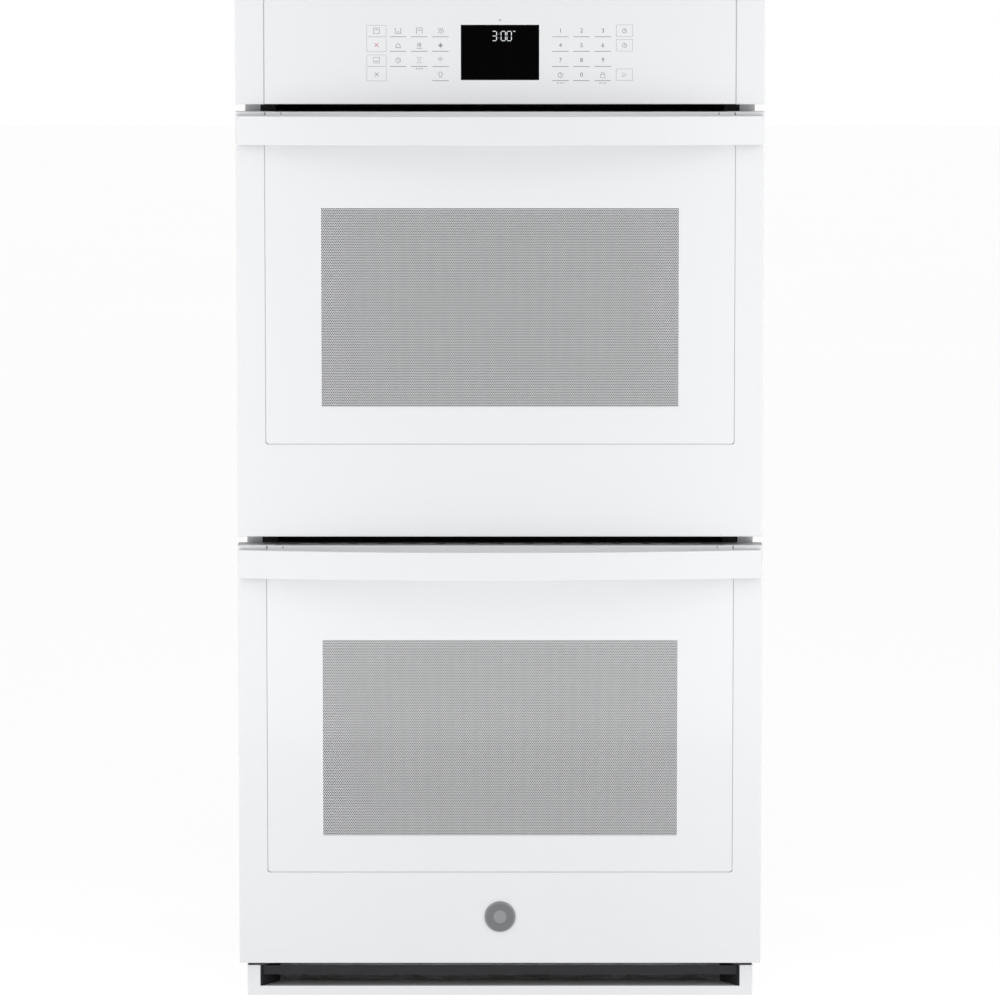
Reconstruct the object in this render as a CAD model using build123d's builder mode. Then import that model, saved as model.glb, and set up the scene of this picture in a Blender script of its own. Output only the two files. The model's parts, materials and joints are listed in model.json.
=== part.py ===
from build123d import *
import math
import os

# Built-in double electric wall oven for a 27 inch cabinet.
# Frame: millimetres, +Z up, front towards -Y.
# The origin is the centre of the base: x from the middle, y from the middle
# of the depth (handles included), z from the underside.

os.makedirs("parts", exist_ok=True)

# ---------------------------------------------------------------- overall sizes
WIDTH = 679.45  # doors and control panel
SIDE_LAP = 27.225  # doors reach past the box on each side
BODY_DEPTH = 591.5  # behind the cabinet face
DOOR_PROUD = 50.0  # cabinet face to door front
HANDLE_PROUD = 38.0  # door front to the middle of the handle
DOOR_BOTTOM = 45.3  # lower door's edge above the base
DOOR_HEIGHT = 548.5
DOOR_GAP = 11.2  # between the two doors
PANEL_GAP = 9.2  # between upper door and control panel
PANEL_HEIGHT = 134.2
PANEL_LAP = 20.0  # control panel above the top of the box
REAR_RECESS = 8.0  # rear cover inside the rear edges of the casing

# ---------------------------------------------------------------- sheet metal
SHEET = 1.2  # casing, frame and liners
SKIN = 1.0  # door skin
TRIM = 1.5  # side trims
FIT = 0.3  # clearance between parts that nest
RUNNING = 0.05  # radial clearance of a pin in its hole

# ---------------------------------------------------------------- cavities
SIDE_ROOM = 42.5  # casing's outer side to the cavity wall
REAR_ROOM = 91.5  # cavity's back wall to the rear edge of the casing
CAVITY_SILL = 68.0  # cavity floor above the door's lower edge
CAVITY_HEAD = 50.5  # cavity roof below the door's upper edge
CAVITY_CORNER = 12.0
FLANGE = 22.0  # front flange around the mouth
REAR_WOOL = 28.0  # insulation behind the cavity
WOOL_DROP = 5.5  # top of insulation below the door's upper edge
WOOL_BOTTOM = 20.0  # bottom of insulation above the door's lower edge
GUIDE_HEADROOM = 60.0  # least room above the highest guide
GUIDE_PITCH = 60.0
GUIDE_FIRST = 45.0  # first rack guide above the cavity floor
GUIDE_HEIGHT = 5.0
GUIDE_REACH = 8.0  # how far a guide stands out of the wall
GUIDE_SETBACK = 10.0  # guide ends short of the mouth and of the back
DUCT_HEIGHT = 16.0
DUCT_SIDE = 7.0  # duct mouth ends inside the trims' inner edges
BEARER_WIDTH = 30.0
BEARER_FRONT = 150.0  # front bearer behind the cabinet face
BEARER_REAR = 70.0  # rear bearer in front of the cavity's back

# ---------------------------------------------------------------- doors
DOOR_EDGE = 1.5  # rounding of the skin's front edges
SKIN_SETBACK = 5.2  # skin and hinge channels end in front of the liner's back
LIP_DEPTH = 14.0  # bottom return of the skin
LINER = 1.0
LINER_WALL = 10.0  # depth of the liner's rim
LINER_BOTTOM = 12.0  # liner edge above the door's lower edge
GLASS_BORDER = 37.725  # glass edge inside the door's side
GLASS_BOTTOM = 120.5  # lower edge of the glass above the door's lower edge
GLASS = 4.0
GLASS_INSET = 0.2  # glass face behind the skin's face
GLASS_CORNER = 4.0
SEAM = 0.8  # gap between glass and skin
LEDGE = 12.0  # width of the ledge that carries the glass
WINDOW_SIDE = 72.0  # window's side inside the glass edge
WINDOW_LOW = 168.6  # above the door's lower edge
WINDOW_DROP = 123.9  # below the door's upper edge
WINDOW_CORNER = 8.0
WINDOW_BOX = 15.0  # front of the window box behind the door's front
PANE_PLACES = (17.0, 26.0)  # middle panes behind the door's front
PANE_MARGIN = 22.0  # pane packs reach past the window
MIDDLE_PANE = 3.0
INNER_PANE = 4.0
CAP_HEIGHT = 12.0
CAP_SLOT = 28.0  # length of one slot in the cap
CAP_PITCH = 38.0
GASKET_WIDTH = 12.0
GASKET_MARGIN = 5.0  # gasket's inner edge outside the mouth
GASKET_THICK = 7.3

# ---------------------------------------------------------------- handles
HANDLE_HEIGHT = 37.0
HANDLE_DROP = 5.4  # handle's upper edge below the door's upper edge
HANDLE_THICK = 3.0
HANDLE_END_PROUD = 7.0
HANDLE_SETBACK = 2.2  # handle end inside the door's side
BRACKET_WIDTH = 21.0
BRACKET_INSET = 4.0  # bracket ends inside the strap's upper and lower edges

# ---------------------------------------------------------------- hinges
PIN_BACK = 15.0  # hinge pin behind the door's front
PIN_UP = 24.0  # hinge pin above the door's lower edge
PIN_RADIUS = 3.0
ARM_SIDE = 20.5  # arm's middle inside the casing's outer side
ARM_THICK = 6.0
ARM_HEIGHT = 10.0
CHANNEL_WALL = 1.5
CHANNEL_GAP = 2.0  # arm to channel wall, each side
CHANNEL_FRONT = 6.5
CHANNEL_HEIGHT = 190.0
RECEIVER_LENGTH = 60.0
RECEIVER_HEIGHT = 20.0

# ---------------------------------------------------------------- latches
LATCH_DROP = 15.5  # latch plane below the door's upper edge
LATCH_THICK = 3.0
LATCH_PIVOT = 40.0  # pivot behind the cabinet face
LATCH_TIP = 29.0  # hook tip behind the door's front
LATCH_WIDTH = 8.0
LATCH_LUG = 8.0
LATCH_BOSS = 9.0
LATCH_POST = 3.0
LATCH_SLOT = (-8.0, 19.0)  # slot in the liner, from the middle
LATCH_ROOM = (-9.0, 26.0)  # slot in the front frame, from the middle
SLOT_RISE = 3.0  # both slots above and below the latch plane

# ---------------------------------------------------------------- racks
RACK_WIRE = 3.2  # frame wire radius
GRID_WIRE = 1.8
GRID_RISE = 1.0  # grid wires above the frame's centre line
CROSS_WIRE = 2.4
CROSS_DROP = 0.6  # cross bars below the frame's centre line
RACK_SIDE_GAP = 2.3
RACK_SETBACK = 8.0  # rack front behind the cabinet face
RACK_SHORT = 30.0  # rack frame shorter than the cavity's depth
RACK_CORNER = 24.0
GRID_SPACING = 22.5  # about this far apart
RACK_LEVELS = {"bottom": 1, "top": 3}

# ---------------------------------------------------------------- elements, lamps, probes
TUBE = 3.4
BEND = 16.0  # bend radius of a heating tube
BROIL_DROP = 32.0
BROIL_SIDE = 45.0  # loop ends inside the cavity wall
BAKE_DROP = 9.0
BAKE_SIDE = 55.0
BAKE_POCKET = 15.0
POCKET_MARGIN = 25.0  # pocket in the wool around the lower loop
TERMINAL_X = 38.0
TERMINAL_OUT = 42.0
LAMP_SIDE = 95.0  # lamp inside the cavity wall
LAMP_DROP = 80.0  # lamp below the cavity roof
LAMP_RADIUS = 28.0
PROBE_SIDE = 65.0  # probe inside the cavity wall
PROBE_DROP = 55.0
PROBE_RADIUS = 3.0
PROBE_LENGTH = 110.0

# ---------------------------------------------------------------- control panel
END_WALL = 2.0
PANEL_GLASS_DROP = 1.3  # glass below the end caps' top
DISPLAY_WIDTH = 110.0
DISPLAY_HEIGHT = 80.0
DISPLAY_DEPTH = 12.0

# ---------------------------------------------------------------- blower
BLOWER_BACK = 300.0  # axis behind the cabinet face
BLOWER_RADIUS = 80.0
BLOWER_FLANGE = 10.0
WHEEL_RADIUS = 62.0
WHEEL_LOW = 14.0  # wheel above the deck
WHEEL_ROOM = 10.0  # wheel below the can's lid
BLADE_COUNT = 28
HUB_RADIUS = 10.0
SHAFT_RADIUS = 3.0
MOTOR_RADIUS = 31.0
MOTOR_HEIGHT = 30.0
MOTOR_ROOM = 14.5  # motor below the top cover
INLET_RADIUS = 50.0

# ---------------------------------------------------------------- trims and supply
TRIM_LAP = 15.5  # trim's inner edge inside the casing's side
TRIM_EDGE = 10.425  # trim's outer edge inside the door's side
TRIM_DROP = 6.0  # trim ends below the panel's top
SCREW_EDGE = 6.8  # fixing holes inside the trim's outer edge
SCREW_LOW = 100.0
SCREW_DROP = 96.9  # highest fixing hole below the panel's top
SCREW_HOLE = 2.6
VENT_EDGE = 9.525  # tray's end inside the door's side
VENT_FRONT = 12.5  # vent tray's lip behind the door front
VENT_LIP = 12.6
VENT_CHEEK = 27.825  # front of the opening inside the door's side
VENT_NARROW = 8.0  # back of the opening inside the trims
VENT_BAR = 11.9
VENT_BAR_DROP = 6.3  # bar below the lower door
VENT_POST_RISE = 1.0  # tray's posts above the bar
VENT_BAR_SET = 4.0  # bar behind the lip
VENT_BAR_TURN = 9.0  # bar's lower edge, turned to the rear
CONDUIT_RADIUS = 11.1
CONDUIT_WALL = 3.0
CONDUIT_LENGTH = 20.0
CONDUIT_SIDE = 97.5  # supply entry inside the casing's outer side
CONDUIT_DROP = 52.0  # supply entry below the top of the casing
BOX_HALF = (45.0, 40.0)  # supply box, half its width and height
BOX_DEPTH = 70.0
BOARD_SIDE = 22.5  # power board's edge inside the casing's outer side
BOARD = (180.0, 160.0)  # power board
BOARD_FRONT = 60.0  # power board behind the cabinet face
BOARD_UP = 10.0  # power board above the deck
BADGE_RADIUS = 20.0
BADGE_UP = 61.3
BADGE_THICK = 1.6

# ---------------------------------------------------------------- derived planes
DEPTH = HANDLE_PROUD + DOOR_PROUD + BODY_DEPTH
FRONT = HANDLE_PROUD - DEPTH / 2  # front plane of doors and panel
FACE = FRONT + DOOR_PROUD  # cabinet face
REAR = DEPTH / 2
COVER = REAR - REAR_RECESS  # outer face of the rear cover
HEIGHT = DOOR_BOTTOM + 2 * DOOR_HEIGHT + DOOR_GAP + PANEL_GAP + PANEL_HEIGHT
PANEL_BOTTOM = HEIGHT - PANEL_HEIGHT
BOX_TOP = HEIGHT - PANEL_LAP
HALF = WIDTH / 2
BODY_WIDTH = WIDTH - 2 * SIDE_LAP  # box that goes into the cabinet
INSIDE = BODY_WIDTH / 2 - SHEET  # inner half width of the casing
CAVITY_WIDTH = BODY_WIDTH - 2 * SIDE_ROOM
CAVITY_HEIGHT = DOOR_HEIGHT - CAVITY_SILL - CAVITY_HEAD
CAVITY_DEPTH = BODY_DEPTH - REAR_ROOM
WOOL_TOP = DOOR_HEIGHT - WOOL_DROP  # above the door's lower edge
GUIDE_COUNT = int((CAVITY_HEIGHT - GUIDE_FIRST - GUIDE_HEADROOM) / GUIDE_PITCH) + 1
DOOR_BACK = DOOR_PROUD - SHEET - GASKET_THICK - FIT  # door front to the back of its liner
SKIN_DEPTH = DOOR_BACK - SKIN_SETBACK
PANEL_BACK = DOOR_PROUD - TRIM - FIT  # depth of the panel's end caps
GLASS_WIDTH = WIDTH - 2 * GLASS_BORDER
WINDOW_WIDTH = GLASS_WIDTH - 2 * WINDOW_SIDE
WINDOW_HEIGHT = DOOR_HEIGHT - WINDOW_LOW - WINDOW_DROP
WINDOW_MIDDLE = WINDOW_LOW + WINDOW_HEIGHT / 2
CAP_SLOTS = int((GLASS_WIDTH - 2 * LEDGE - CAP_SLOT) / CAP_PITCH)
BRACKET_OUT = GLASS_WIDTH / 2
BRACKET_IN = BRACKET_OUT - BRACKET_WIDTH
ARM_X = BODY_WIDTH / 2 - ARM_SIDE
LATCH_UP = DOOR_HEIGHT - LATCH_DROP
RACK_LENGTH = CAVITY_DEPTH - RACK_SHORT
LAMP_X = CAVITY_WIDTH / 2 - LAMP_SIDE
PROBE_X = -(CAVITY_WIDTH / 2 - PROBE_SIDE)
TRIM_IN = BODY_WIDTH / 2 - TRIM_LAP
TRIM_OUT = HALF - TRIM_EDGE
SCREW_X = TRIM_OUT - SCREW_EDGE
SCREW_HIGH = HEIGHT - SCREW_DROP
VENT_MOUTH = HALF - VENT_CHEEK
VENT_THROAT = TRIM_IN - VENT_NARROW
VENT_BAR_HIGH = DOOR_BOTTOM - VENT_BAR_DROP
VENT_BAR_LOW = VENT_BAR_HIGH - VENT_BAR
VENT_POST_HIGH = VENT_BAR_HIGH + VENT_POST_RISE
CONDUIT_X = BODY_WIDTH / 2 - CONDUIT_SIDE
CONDUIT_Z = BOX_TOP - CONDUIT_DROP
DOOR_LEVELS = {"lower": DOOR_BOTTOM, "upper": DOOR_BOTTOM + DOOR_HEIGHT + DOOR_GAP}
FRAME_BACK = FACE + SHEET
CAVITY_BACK = FACE + CAVITY_DEPTH
WOOL_BACK = CAVITY_BACK + SHEET + REAR_WOOL
MOUTH_FRONT = FACE - SHEET  # front of the cavity flange
DECK = DOOR_LEVELS["upper"] + WOOL_TOP + DUCT_HEIGHT  # floor of the control compartment
PIN_Y = FRONT + PIN_BACK
CHANNEL_IN = ARM_X - ARM_THICK / 2 - CHANNEL_GAP - CHANNEL_WALL
CHANNEL_OUT = ARM_X + ARM_THICK / 2 + CHANNEL_GAP + CHANNEL_WALL
BLOWER_Y = FACE + BLOWER_BACK
BLOWER_HEIGHT = BOX_TOP - SHEET - MOTOR_ROOM - MOTOR_HEIGHT - SHEET - DECK
WHEEL_HEIGHT = BLOWER_HEIGHT - WHEEL_LOW - WHEEL_ROOM
BEARERS = (FACE + BEARER_FRONT, CAVITY_BACK - BEARER_REAR)
SIDES = (-1, 1)


# ---------------------------------------------------------------- helpers
def facing(y):
    """Plane at y that faces the front: sketch x is world x, sketch y is world z."""
    return Plane(origin=(0, y, 0), x_dir=(1, 0, 0), z_dir=(0, -1, 0))


def span(side, inner, outer):
    """Low and high x of a band between two distances from the middle, on one side."""
    return (min(side * inner, side * outer), max(side * inner, side * outer))


def block(x, y, z, mode=Mode.ADD):
    """Box between its low and high limits along each axis, in the active part."""
    with Locations(((x[0] + x[1]) / 2, (y[0] + y[1]) / 2, (z[0] + z[1]) / 2)):
        Box(x[1] - x[0], y[1] - y[0], z[1] - z[0], mode=mode)


def rod(x, y, z, radius, length, axis="Y", mode=Mode.ADD):
    """Cylinder centred on a point, with its length along one axis."""
    turn = {"X": (0, 90, 0), "Y": (90, 0, 0), "Z": (0, 0, 0)}[axis]
    with Locations((x, y, z)):
        Cylinder(radius, length, rotation=turn, mode=mode)


def save(part, name):
    """Label a finished piece and write its STEP file."""
    part.label = name
    export_step(part, f"parts/{name}.step")


def handle_proud(x):
    """Distance of the handle's outer face from the door's front, at one x."""
    reach = HALF - HANDLE_SETBACK
    sag = HANDLE_PROUD - HANDLE_END_PROUD
    radius = (reach**2 + sag**2) / (2 * sag)
    return HANDLE_PROUD - radius + math.sqrt(radius**2 - x**2)


# ---------------------------------------------------------------- casing
def side_panel(side):
    """Side of the casing, with a return at the rear edge."""
    edge = BODY_WIDTH / 2
    with BuildPart() as panel:
        block(span(side, INSIDE, edge), (FACE, REAR), (0, BOX_TOP - SHEET))
        tab = (COVER - 2 * SHEET, COVER - SHEET)
        block(span(side, edge - 18, INSIDE), tab, (40, BOX_TOP - 60))
    save(panel.part, "side_panel_left" if side < 0 else "side_panel_right")


def rear_cover():
    """Back of the casing, with cooling slots and the supply hole."""
    slot_rows = 8
    with BuildPart() as cover:
        block((-INSIDE, INSIDE), (COVER - SHEET, COVER), (SHEET, BOX_TOP - SHEET))
        for level in DOOR_LEVELS.values():
            with BuildSketch(facing(COVER)):
                with Locations((-150, level + DOOR_HEIGHT / 2)):
                    with GridLocations(0, 14, 1, slot_rows):
                        SlotOverall(120, 5)
            extrude(amount=3 * SHEET, both=True, mode=Mode.SUBTRACT)
        rod(CONDUIT_X, COVER, CONDUIT_Z, CONDUIT_RADIUS + CONDUIT_WALL + FIT, 30, "Y", Mode.SUBTRACT)
    save(cover.part, "rear_cover")


def top_cover():
    """Top of the casing, with two rows of louvre slots."""
    with BuildPart() as cover:
        block((-BODY_WIDTH / 2, BODY_WIDTH / 2), (FACE, REAR), (BOX_TOP - SHEET, BOX_TOP))
        with BuildSketch(Plane.XY.offset(BOX_TOP)):
            with Locations((0, REAR - 90)):
                with GridLocations(34, 60, 13, 2):
                    SlotOverall(40, 5, rotation=90)
        extrude(amount=2 * SHEET, both=True, mode=Mode.SUBTRACT)
    save(cover.part, "top_cover")


def base_pan():
    """Floor of the casing, with upturned edges and two bearers under the lower oven."""
    wool = DOOR_LEVELS["lower"] + WOOL_BOTTOM
    with BuildPart() as pan:
        block((-INSIDE, INSIDE), (FACE, REAR), (0, SHEET))
        for side in SIDES:
            block(span(side, INSIDE - SHEET, INSIDE), (FACE, COVER - 2 * SHEET), (SHEET, 26))
        for y in BEARERS:
            block((-INSIDE + SHEET, INSIDE - SHEET), (y, y + BEARER_WIDTH), (SHEET, wool))
            inner = (y + SHEET, y + BEARER_WIDTH - SHEET)
            block((-INSIDE, INSIDE), inner, (SHEET, wool - SHEET), Mode.SUBTRACT)
            window = (y - 1, y + BEARER_WIDTH + 1)
            block((-INSIDE + 40, INSIDE - 40), window, (14, wool - 12), Mode.SUBTRACT)
    save(pan.part, "base_pan")


def front_frame():
    """Sheet behind the doors, cut out for mouths, ducts, hinge arms and latches."""
    low = VENT_BAR_HIGH + 3
    with BuildPart() as frame:
        block((-INSIDE, INSIDE), (FACE, FRAME_BACK), (low, DECK))
        deep = (FACE - 1, FRAME_BACK + 1)
        for level in DOOR_LEVELS.values():
            half_mouth = CAVITY_WIDTH / 2 + SHEET + FIT
            floor = level + CAVITY_SILL - SHEET - FIT
            roof = level + CAVITY_SILL + CAVITY_HEIGHT + SHEET + FIT
            block((-half_mouth, half_mouth), deep, (floor, roof), Mode.SUBTRACT)
            duct = level + WOOL_TOP
            mouth = TRIM_IN - DUCT_SIDE
            block((-mouth, mouth), deep, (duct + 4, duct + DUCT_HEIGHT - 2), Mode.SUBTRACT)
            pin = level + PIN_UP
            slot = ARM_HEIGHT / 2 + 1
            for side in SIDES:
                arm = span(side, ARM_X - ARM_THICK / 2 - 1, ARM_X + ARM_THICK / 2 + 1)
                block(arm, deep, (pin - slot, pin + slot), Mode.SUBTRACT)
            latch = level + LATCH_UP
            block(LATCH_ROOM, deep, (latch - SLOT_RISE, latch + SLOT_RISE), Mode.SUBTRACT)
    save(frame.part, "front_frame")


def duct(name, level, half_width, bearers):
    """Flat air duct open at front and rear, with bearers for what stands on it."""
    low = level + WOOL_TOP
    high = low + DUCT_HEIGHT
    with BuildPart() as tube:
        block((-half_width, half_width), (FRAME_BACK, WOOL_BACK), (low, high))
        inner = half_width - SHEET
        block((-inner, inner), (FRAME_BACK - 1, WOOL_BACK + 1), (low + SHEET, high - SHEET), Mode.SUBTRACT)
        if bearers:
            rest = DOOR_LEVELS["upper"] + WOOL_BOTTOM
            for y in BEARERS:
                block((-half_width, half_width), (y, y + BEARER_WIDTH), (high, rest))
                hollow = (y + SHEET, y + BEARER_WIDTH - SHEET)
                block((-half_width, half_width), hollow, (high, rest - SHEET), Mode.SUBTRACT)
        else:
            rod(0, BLOWER_Y, high, BLOWER_RADIUS - 12, 3 * SHEET, "Z", Mode.SUBTRACT)
    save(tube.part, name)


def side_trim(side):
    """Upright flange that laps the cabinet face and takes the fixing screws."""
    with BuildPart() as trim:
        block(span(side, TRIM_IN, TRIM_OUT), (FACE - TRIM, FACE), (0, HEIGHT - TRIM_DROP))
        for z in (SCREW_LOW, (SCREW_LOW + SCREW_HIGH) / 2, SCREW_HIGH):
            rod(side * SCREW_X, FACE - TRIM / 2, z, SCREW_HOLE, 4 * TRIM, "Y", Mode.SUBTRACT)
        for level in DOOR_LEVELS.values():
            notch = span(side, TRIM_IN - 1, ARM_X + ARM_THICK / 2 + 3)
            pin = level + PIN_UP
            block(notch, (FACE - 3, FACE + 1), (pin - 8, pin + 8), Mode.SUBTRACT)
    save(trim.part, "side_trim_left" if side < 0 else "side_trim_right")


def bottom_vent_trim():
    """Tray below the lower door: lip, floor, closed ends and front posts."""
    half = HALF - VENT_EDGE
    lip = FRONT + VENT_FRONT
    back = FACE - TRIM
    with BuildPart() as tray:
        block((-half, half), (lip, lip + SHEET), (0, VENT_LIP))
        block((-half, half), (lip, back), (VENT_LIP - SHEET, VENT_LIP))
        block((-TRIM_IN + 1, TRIM_IN - 1), (back - 1, FACE), (VENT_LIP - SHEET, VENT_LIP))
        for side in SIDES:
            block(span(side, half - SHEET, half), (lip, back), (0, VENT_POST_HIGH))
            post = span(side, VENT_MOUTH + SHEET, half)
            block(post, (lip, lip + SHEET), (VENT_LIP - SHEET, VENT_POST_HIGH))
        edges = tray.edges().filter_by(Axis.Z).group_by(Axis.Y)[0]
        fillet(edges, 1.0)
    save(tray.part, "bottom_vent_trim")


def bottom_vent_bar():
    """Air guide that stands on the tray: splayed ends joined by an upper bar."""
    lip = FRONT + VENT_FRONT
    back = FACE - TRIM
    bar = lip + VENT_BAR_SET
    splay = (VENT_MOUTH - VENT_THROAT) / (DOOR_PROUD - VENT_FRONT)
    bar_half = VENT_MOUTH - splay * VENT_BAR_SET
    with BuildPart() as guide:
        for side in SIDES:
            with BuildSketch(Plane.XY.offset(VENT_LIP)):
                with BuildLine():
                    Polyline(
                        (side * VENT_MOUTH, lip),
                        (side * (VENT_MOUTH + SHEET), lip),
                        (side * (VENT_THROAT + SHEET), back),
                        (side * VENT_THROAT, back),
                        close=True,
                    )
                make_face()
            extrude(amount=VENT_BAR_HIGH - VENT_LIP)
        block((-bar_half, bar_half), (bar, bar + SHEET), (VENT_BAR_LOW, VENT_BAR_HIGH))
        block((-bar_half, bar_half), (bar, bar + VENT_BAR_TURN), (VENT_BAR_LOW, VENT_BAR_LOW + SHEET))
    save(guide.part, "bottom_vent_bar")


# ---------------------------------------------------------------- ovens
def cavity(name, level):
    """Enamelled oven box with rack guides, a front flange and service holes."""
    floor = level + CAVITY_SILL
    roof = floor + CAVITY_HEIGHT
    middle = (floor + roof) / 2
    with BuildPart() as box:
        with BuildSketch(facing(FACE)):
            with Locations((0, middle)):
                RectangleRounded(CAVITY_WIDTH + 2 * SHEET, CAVITY_HEIGHT + 2 * SHEET, CAVITY_CORNER + SHEET)
        extrude(amount=-(CAVITY_DEPTH + SHEET))
        with BuildSketch(facing(FACE)):
            with Locations((0, middle)):
                RectangleRounded(CAVITY_WIDTH + 2 * FLANGE, CAVITY_HEIGHT + 2 * FLANGE, CAVITY_CORNER)
        extrude(amount=SHEET)
        with BuildSketch(facing(MOUTH_FRONT - 1)):
            with Locations((0, middle)):
                RectangleRounded(CAVITY_WIDTH, CAVITY_HEIGHT, CAVITY_CORNER)
        extrude(amount=-(CAVITY_DEPTH + SHEET + 1), mode=Mode.SUBTRACT)
        run = (FACE + GUIDE_SETBACK, CAVITY_BACK - GUIDE_SETBACK)
        for step in range(GUIDE_COUNT):
            low = floor + GUIDE_FIRST + step * GUIDE_PITCH
            for side in SIDES:
                reach = span(side, CAVITY_WIDTH / 2 - GUIDE_REACH, CAVITY_WIDTH / 2 + SHEET / 2)
                block(reach, run, (low, low + GUIDE_HEIGHT))
        for x in (-TERMINAL_X, TERMINAL_X):
            rod(x, CAVITY_BACK, roof - BROIL_DROP, TUBE + FIT, 10, "Y", Mode.SUBTRACT)
        rod(PROBE_X, CAVITY_BACK, roof - PROBE_DROP, PROBE_RADIUS + FIT, 10, "Y", Mode.SUBTRACT)
        rod(LAMP_X, CAVITY_BACK, roof - LAMP_DROP, LAMP_RADIUS + FIT, 10, "Y", Mode.SUBTRACT)
    save(box.part, name)


def insulation(name, level):
    """Mineral wool jacket around an oven box, open at the mouth."""
    floor = level + CAVITY_SILL
    roof = floor + CAVITY_HEIGHT
    half = CAVITY_WIDTH / 2 + SHEET + FIT
    outer = INSIDE - SHEET - FIT
    terminal = 2.5 * TUBE
    with BuildPart() as wool:
        block((-outer, outer), (FRAME_BACK, WOOL_BACK), (level + WOOL_BOTTOM, level + WOOL_TOP))
        deep = (FRAME_BACK - 1, CAVITY_BACK + SHEET + FIT)
        block((-half, half), deep, (floor - SHEET - FIT, roof + SHEET + FIT), Mode.SUBTRACT)
        pocket = (FACE + 30, WOOL_BACK - 12)
        loop = CAVITY_WIDTH / 2 - BAKE_SIDE + POCKET_MARGIN
        block((-loop, loop), pocket, (floor - SHEET - BAKE_POCKET, floor), Mode.SUBTRACT)
        for side in SIDES:
            receiver = span(side, CHANNEL_IN - 3, CHANNEL_OUT + 3)
            pin = level + PIN_UP
            room = RECEIVER_HEIGHT / 2 + 1
            behind = (FRAME_BACK - 1, FRAME_BACK + RECEIVER_LENGTH + 2)
            block(receiver, behind, (level + WOOL_BOTTOM - 1, pin + room), Mode.SUBTRACT)
            rod(side * TERMINAL_X, CAVITY_BACK + 20, roof - BROIL_DROP, terminal, 60, "Y", Mode.SUBTRACT)
            low = floor - SHEET - BAKE_DROP
            rod(side * TERMINAL_X, CAVITY_BACK + 20, low, TUBE + 1, 60, "Y", Mode.SUBTRACT)
        latch = level + LATCH_UP
        block((-36, 36), (FRAME_BACK - 1, FACE + 80), (latch - 12, level + WOOL_TOP + 1), Mode.SUBTRACT)
        rod(LAMP_X, CAVITY_BACK + 20, roof - LAMP_DROP, LAMP_RADIUS + 3, 60, "Y", Mode.SUBTRACT)
        rod(PROBE_X, CAVITY_BACK + 20, roof - PROBE_DROP, PROBE_RADIUS + 3, 60, "Y", Mode.SUBTRACT)
    save(wool.part, name)


def gasket(name, level):
    """Woven door seal on the flange, around the mouth."""
    middle = level + CAVITY_SILL + CAVITY_HEIGHT / 2
    inner = (CAVITY_WIDTH + 2 * GASKET_MARGIN, CAVITY_HEIGHT + 2 * GASKET_MARGIN)
    grow = 2 * GASKET_WIDTH
    with BuildPart() as seal:
        with BuildSketch(facing(MOUTH_FRONT)):
            with Locations((0, middle)):
                RectangleRounded(inner[0] + grow, inner[1] + grow, CAVITY_CORNER + GASKET_WIDTH)
                RectangleRounded(inner[0], inner[1], CAVITY_CORNER, mode=Mode.SUBTRACT)
        extrude(amount=GASKET_THICK)
        fillet(seal.faces().sort_by(Axis.Y)[0].edges(), 3.0)
    save(seal.part, name)


def element(name, height, front, back, half):
    """Bent heating tube: two terminals at the back and one continuous loop."""
    inner = half / 2
    side_run = [
        (TERMINAL_X, CAVITY_BACK + TERMINAL_OUT),
        (TERMINAL_X, back),
        (half, back),
        (half, front),
        (inner, front),
        (inner, back - 60),
    ]
    route = side_run + [(-x, y) for x, y in reversed(side_run)]
    with BuildPart() as tube:
        with BuildLine(Plane.XY.offset(height)) as path:
            FilletPolyline(*route, radius=BEND)
        with BuildSketch(Plane(origin=path.line @ 0, z_dir=path.line % 0)):
            Circle(TUBE)
        sweep()
    save(tube.part, name)


def oven_lamps():
    """Two lamp holders with domed lenses, one in the back wall of each oven."""
    with BuildPart() as lamps:
        for level in DOOR_LEVELS.values():
            height = level + CAVITY_SILL + CAVITY_HEIGHT - LAMP_DROP
            lens = LAMP_RADIUS - 4
            rod(LAMP_X, CAVITY_BACK - 7, height, lens, 12)
            fillet(lamps.edges().filter_by(GeomType.CIRCLE).group_by(Axis.Y)[0], 9)
            rod(LAMP_X, CAVITY_BACK + 13, height, LAMP_RADIUS, 30)
            rod(LAMP_X, CAVITY_BACK + 34, height, 16, 12)
    save(lamps.part, "oven_lamps")


def temperature_probes():
    """Two sensor tubes with their mounting tabs, one in each oven."""
    with BuildPart() as probes:
        for level in DOOR_LEVELS.values():
            height = level + CAVITY_SILL + CAVITY_HEIGHT - PROBE_DROP
            start = CAVITY_BACK - PROBE_LENGTH
            finish = CAVITY_BACK + TERMINAL_OUT
            rod(PROBE_X, (start + finish) / 2, height, PROBE_RADIUS, finish - start)
            tab = (CAVITY_BACK - 1, CAVITY_BACK)
            block((PROBE_X - 14, PROBE_X + 14), tab, (height - 8, height + 8))
            fillet(probes.edges().filter_by(GeomType.CIRCLE).group_by(Axis.Y)[0], 1.5)
    save(probes.part, "temperature_probes")


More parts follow.
